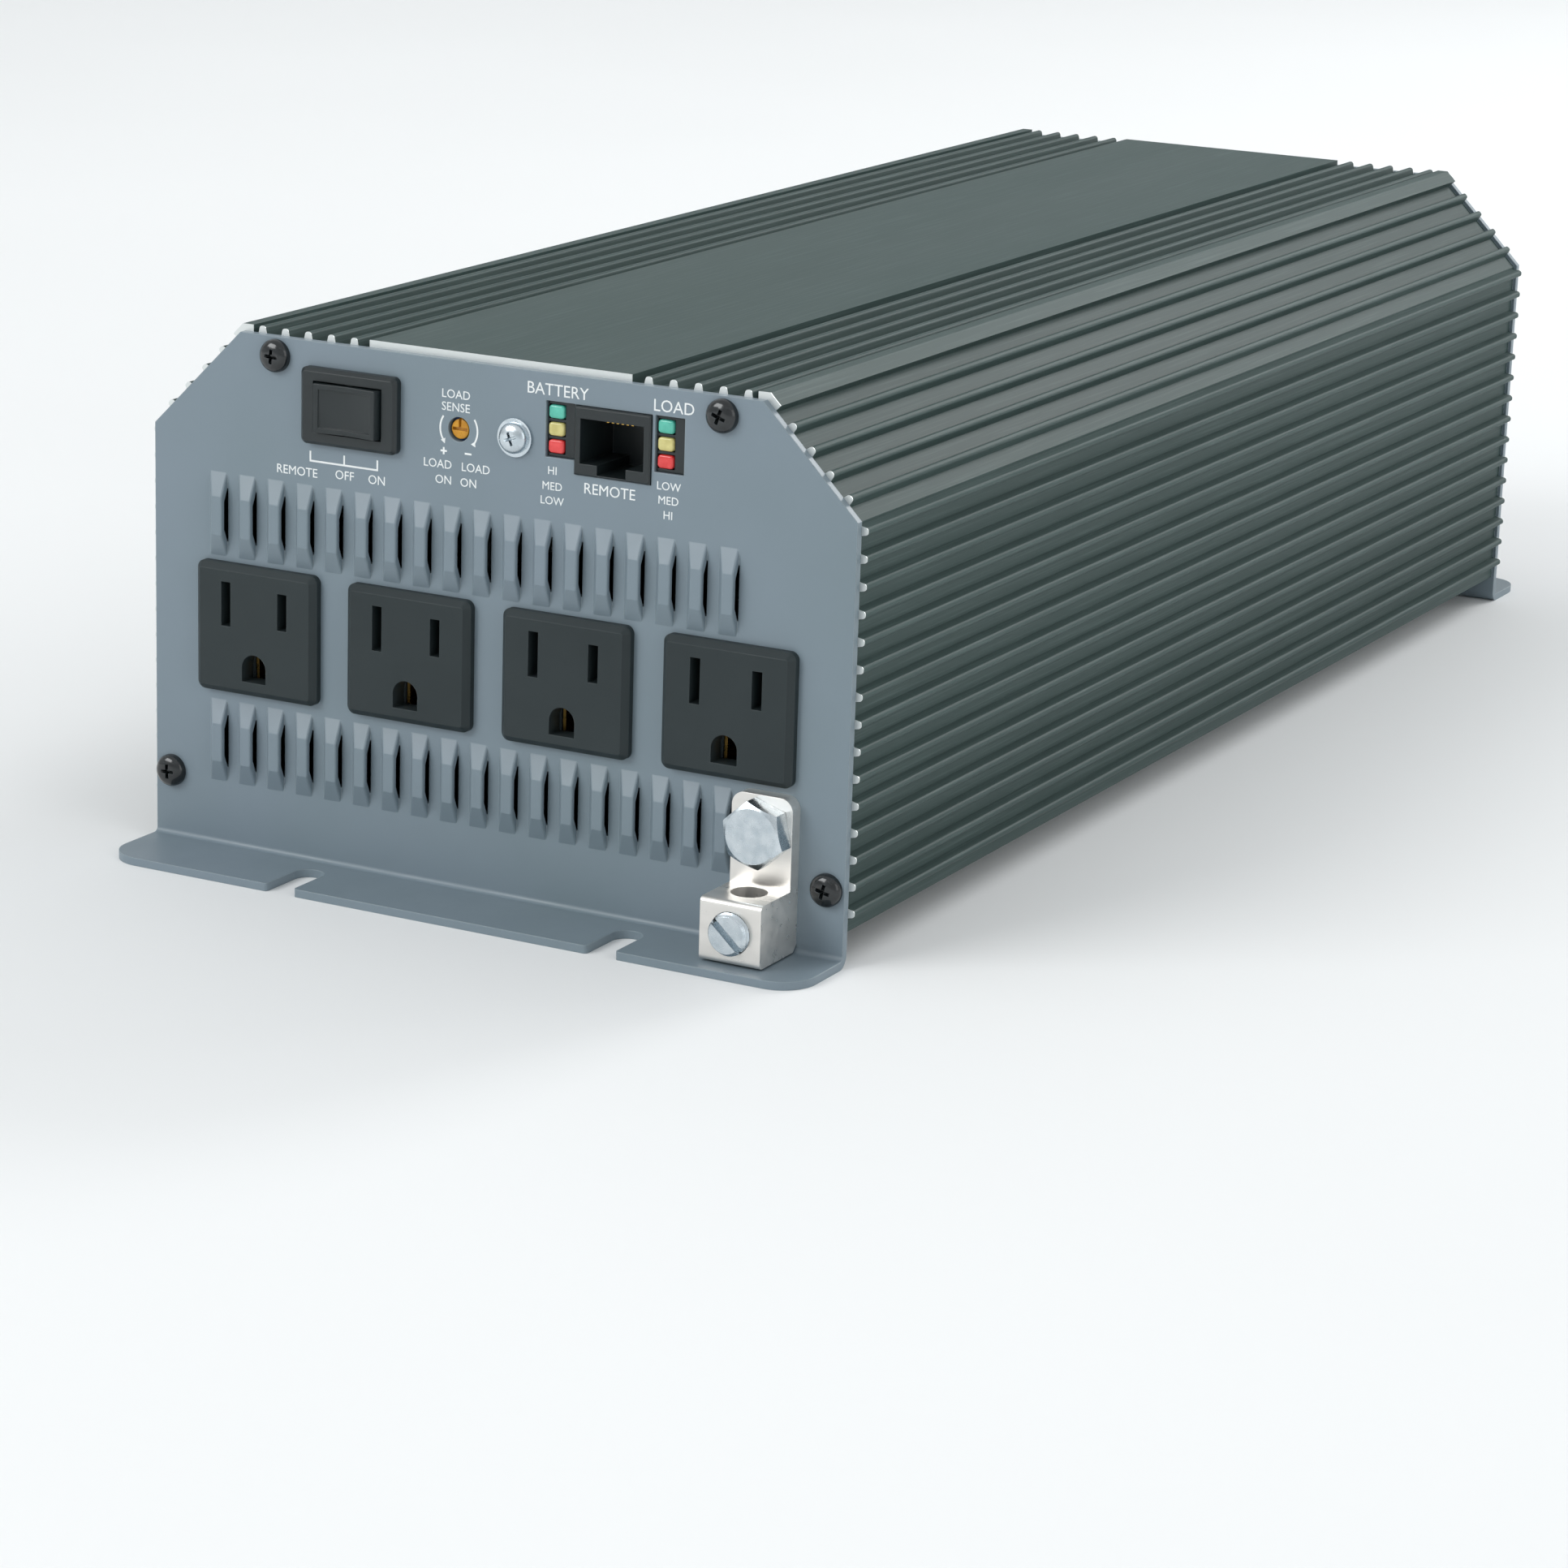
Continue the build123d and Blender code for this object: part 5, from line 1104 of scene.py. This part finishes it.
@dataclass
class Printing:
    """White screen-printed marks: plain function words, a bracket, arrows and polarity signs."""

    ink: float = 0.03             # thickness of the ink, mm
    stroke: float = 0.35          # width of a thin line, mm
    reach: float = 4.0            # radius of the curved arrows, mm
    cross: float = 0.008          # extra thickness of the second of two crossing strokes, mm
    trimmer: tuple[float, float] = (-7.4, 89.2)                     # between the arrows, x and z
    bracket: tuple[float, float, float] = (-39.8, -32.3, -25.0)     # x of its three uprights
    bracket_z: tuple[float, float] = (79.4, 81.1)                   # its foot and its top
    more: tuple[float, float, float] = (-10.6, 84.9, 0.5)           # x, z and half size of the small plus
    less: tuple[float, float, float] = (-5.9, -4.8, 84.9)           # ends and z of the small minus
    pole_plus: tuple[float, float, float, float] = (50.5, 71.5, 3.7, 1.0)     # x, z, half size, stroke
    pole_minus: tuple[float, float, float, float] = (-60.0, -52.0, 72.3, 1.3)  # ends, z, stroke
    words: tuple[tuple[str, float, float, float], ...] = (
        # words, centre x, centre z, height of the capitals
        ("BATTERY", 13.4, 98.8, 2.2), ("LOAD", 37.5, 98.6, 2.2),
        ("LOAD", -8.1, 95.6, 1.6), ("SENSE", -8.1, 93.2, 1.6),
        ("LOAD", -11.9, 82.3, 1.6), ("ON", -10.6, 79.4, 1.6),
        ("LOAD", -3.7, 82.3, 1.6), ("ON", -5.2, 79.4, 1.6),
        ("REMOTE", -42.8, 77.0, 1.7), ("OFF", -32.2, 77.4, 1.7), ("ON", -25.1, 77.4, 1.7),
        ("HI", 12.6, 84.0, 1.5), ("MED", 12.6, 81.1, 1.5), ("LOW", 12.6, 78.4, 1.5),
        ("REMOTE", 24.6, 81.6, 2.0),
        ("LOW", 36.8, 84.1, 1.5), ("MED", 36.8, 81.5, 1.5), ("HI", 36.8, 78.8, 1.5),
    )

    def word(self, text: str, size: float) -> BMesh:
        """Sets a word in the plain built-in letters.

        Args:
            text: The word.
            size: Height of its capitals, mm.

        Returns:
            The flat, slightly raised word, centred.
        """
        curve = bpy.data.curves.new("word", "FONT")
        curve.body = text
        curve.size = size / 0.7
        curve.align_x = "CENTER"
        curve.align_y = "CENTER"
        curve.extrude = self.ink
        curve.resolution_u = 3
        holder = bpy.data.objects.new("word", curve)
        bpy.context.scene.collection.objects.link(holder)
        graph = bpy.context.evaluated_depsgraph_get()
        mesh = bpy.data.meshes.new_from_object(holder.evaluated_get(graph))
        bm = bmesh.new()
        bm.from_mesh(mesh)
        bpy.data.objects.remove(holder)
        bpy.data.curves.remove(curve)
        bpy.data.meshes.remove(mesh)
        return bm

    def line(self, x0: float, z0: float, x1: float, z1: float, width: float, over: float = 0.0) -> BMesh:
        """Straight stroke.

        Args:
            x0: Start on the face, x.
            z0: Start on the face, z.
            x1: End on the face, x.
            z1: End on the face, z.
            width: Width of the stroke.
            over: How much thicker the ink is where this stroke crosses another.

        Returns:
            The stroke.
        """
        stroke = block(hypot(x1 - x0, z1 - z0) + width, width, 2 * (self.ink + over))
        turn = Vector((x1 - x0, z1 - z0)).angle_signed(Vector((1, 0)), 0.0)
        middle = Matrix.Translation(((x0 + x1) / 2, (z0 + z1) / 2, 0))
        return move(stroke, middle @ Matrix.Rotation(turn, 4, "Z"))

    def arc_arrow(self, x: float, z: float, side: int) -> BMesh:
        """Curved arrow beside the trimmer.

        Args:
            x: Middle of the trimmer.
            z: Middle of the trimmer.
            side: -1 for the left arrow, 1 for the right one.

        Returns:
            The arrow.
        """
        start = radians(-34) if side > 0 else radians(146)
        arc = bmesh.new()
        corners = [arc.verts.new((self.reach + i * self.stroke / 2, 0, j * self.ink))
                   for i, j in ((-1, -1), (1, -1), (1, 1), (-1, 1))]
        face = arc.faces.new(corners)
        bmesh.ops.spin(arc, geom=[face, *face.edges, *corners], cent=(0, 0, 0), axis=(0, 0, 1),
                       angle=radians(68), steps=14)
        bmesh.ops.recalc_face_normals(arc, faces=arc.faces)
        move(arc, Matrix.Translation((x, z, 0)) @ Matrix.Rotation(start, 4, "Z"))
        head = bmesh.new()
        bmesh.ops.create_cone(head, cap_ends=True, segments=3, radius1=0.62, radius2=0.62,
                              depth=2 * (self.ink + self.cross))
        tip = (x + side * self.reach * cos(radians(36)), z - self.reach * sin(radians(36)))
        turn = radians(-144 if side > 0 else -36)
        move(head, Matrix.Translation((*tip, 0)) @ Matrix.Rotation(turn, 4, "Z"))
        return gather([arc, head])

    def ac_marks(self) -> BMesh:
        """Gathers everything printed on the AC end plate.

        Returns:
            The marks, in the face's own millimetres.
        """
        parts = [move(self.word(text, size), Matrix.Translation((x, z, 0)))
                 for text, x, z, size in self.words]
        thin, over = self.stroke, self.cross
        foot, top = self.bracket_z
        parts.append(self.line(self.bracket[0], foot, self.bracket[-1], foot, thin))
        parts.extend(self.line(x, foot, x, top, thin, over) for x in self.bracket)
        x, z, half = self.more
        parts.append(self.line(x - half, z, x + half, z, thin))
        parts.append(self.line(x, z - half, x, z + half, thin, over))
        start, end, z = self.less
        parts.append(self.line(start, z, end, z, thin))
        parts.extend(self.arc_arrow(*self.trimmer, side) for side in (-1, 1))
        return gather(parts)

    def dc_marks(self) -> BMesh:
        """Gathers everything printed on the DC end plate.

        Returns:
            The marks, in the face's own millimetres.
        """
        start, end, low, wide = self.pole_minus
        x, z, half, thick = self.pole_plus
        return gather([self.line(start, low, end, low, wide), self.line(x - half, z, x + half, z, thick),
                       self.line(x, z - half, x, z + half, thick, self.cross),
                       move(self.word("12V DC", 4.8), Matrix.Translation((2.2, 6.9, 0)))])

    def build(self) -> None:
        """Lays the ink on both faces."""
        place_piece("printed_marks_ac", move(self.ac_marks(), AC.at(0, 0)), INK)
        place_piece("printed_marks_dc", move(self.dc_marks(), DC.at(0, 0)), INK)


# ---------------------------------------------------------------- studio


@dataclass(frozen=True)
class SoftBox:
    """Rectangular soft light, in metres."""

    name: str
    watts: float
    size: tuple[float, float]
    spot: tuple[float, float, float]
    aim: tuple[float, float, float] = (0, 0, 0.05)


@dataclass
class Studio:
    """Plain pale floor that curves up all round, soft lights and the camera."""

    eye: tuple[float, float, float] = (436.3, -897.3, 261.0)
    azimuth: float = 27.472
    elevation: float = 15.708
    roll: float = 1.828
    focal: float = 107.62
    world: float = 0.8            # strength of the even light from all round
    flat_r: float = 4.0           # radius of the flat floor, m
    bend_r: float = 2.5           # radius of the curve up to the wall, m
    wall: float = 4.0             # height of the wall, m
    lights: tuple[SoftBox, ...] = (
        SoftBox("key", 32.0, (1.6, 1.2), (-1.3, -2.0, 1.5)),
        SoftBox("fill", 8.0, (1.4, 1.6), (2.4, -0.9, 0.9)),
        SoftBox("rear", 12.0, (1.2, 1.0), (1.2, 2.1, 0.9)),
        SoftBox("sheen", 8.0, (0.5, 0.4), (0.5, 1.5, 1.1), aim=(0.065, -0.15, 0.095)),
    )

    def camera(self) -> None:
        """Stands the camera where the object is seen from in front and to its right."""
        data = bpy.data.cameras.new("camera")
        data.lens = self.focal
        data.sensor_width = 36.0
        data.clip_start = 0.01
        data.clip_end = 30.0
        camera = bpy.data.objects.new("camera", data)
        bpy.context.scene.collection.objects.link(camera)
        a, e = radians(self.azimuth), radians(self.elevation)
        back = Vector((sin(a) * cos(e), -cos(a) * cos(e), sin(e)))
        turn = back.to_track_quat("Z", "Y").to_matrix().to_4x4()
        camera.matrix_world = (Matrix.Translation(Vector(self.eye) * MM) @ turn
                               @ Matrix.Rotation(radians(self.roll), 4, "Z"))
        bpy.context.scene.camera = camera

    def floor(self) -> None:
        """Lays a round paper floor that curves up into a low wall all about the object."""
        flat, r = self.flat_r, self.bend_r
        bend = [(flat + r * sin(a), r - r * cos(a)) for a in (radians(d) for d in range(0, 91, 9))]
        bm = bmesh.new()
        verts = [bm.verts.new((x, 0.0, z)) for x, z in [(0.0, 0.0), *bend, (flat + r, self.wall)]]
        edges = [bm.edges.new(pair) for pair in zip(verts, verts[1:])]
        bmesh.ops.spin(bm, geom=verts + edges, cent=(0, 0, 0), axis=(0, 0, 1), angle=2 * pi, steps=72,
                       use_merge=True)
        tidy(bm)
        if min(bm.faces, key=lambda f: f.calc_center_median().length).normal.z < 0:
            bmesh.ops.reverse_faces(bm, faces=bm.faces)
        mesh = bpy.data.meshes.new("floor")
        bm.to_mesh(mesh)
        bm.free()
        mesh.shade_smooth()
        mesh.materials.append(FLOOR.material())
        paper = bpy.data.objects.new("floor", mesh)
        bpy.context.scene.collection.objects.link(paper)

    def hang(self, box: SoftBox) -> None:
        """Hangs a soft light.

        Args:
            box: The light.
        """
        data = bpy.data.lights.new(box.name, "AREA")
        data.shape = "RECTANGLE"
        data.size, data.size_y = box.size
        data.energy = box.watts
        lamp = bpy.data.objects.new(box.name, data)
        bpy.context.scene.collection.objects.link(lamp)
        back = Vector(box.spot) - Vector(box.aim)
        lamp.matrix_world = Matrix.Translation(box.spot) @ back.to_track_quat("Z", "Y").to_matrix().to_4x4()

    def build(self) -> None:
        """Sets up the floor, the lights, the surroundings and the camera."""
        self.floor()
        for box in self.lights:
            self.hang(box)
        world = bpy.data.worlds.new("studio")
        world.use_nodes = True
        sky = world.node_tree.nodes["Background"]
        sky.inputs["Color"].default_value = linear("#f2f5f7")
        sky.inputs["Strength"].default_value = self.world
        bpy.context.scene.world = world
        bpy.context.scene.view_settings.view_transform = "Standard"
        self.camera()


# ---------------------------------------------------------------- the whole inverter


def dress_cad_nodes() -> None:
    """Gives each CAD node that stays its finish."""
    for name, finish in CAD_FINISHES.items():
        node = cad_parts[name]
        made = finish.material()
        if not node.material_slots:
            node.data.materials.append(made)
        for held in node.material_slots:
            held.material = made
        LOG.info("%s: %s", name, finish.name)


def main() -> None:
    """Builds the studio, the finishes and every detailed piece, in order."""
    logging.basicConfig(level=logging.INFO, format="%(name)s: %(message)s")
    Studio().build()
    dress_cad_nodes()
    for piece in (Fasteners(), PositiveCover(), Rocker(), TrimmerDial(), Lamps(), Impeller(), Printing()):
        piece.build()


if __name__ == "__main__":
    main()
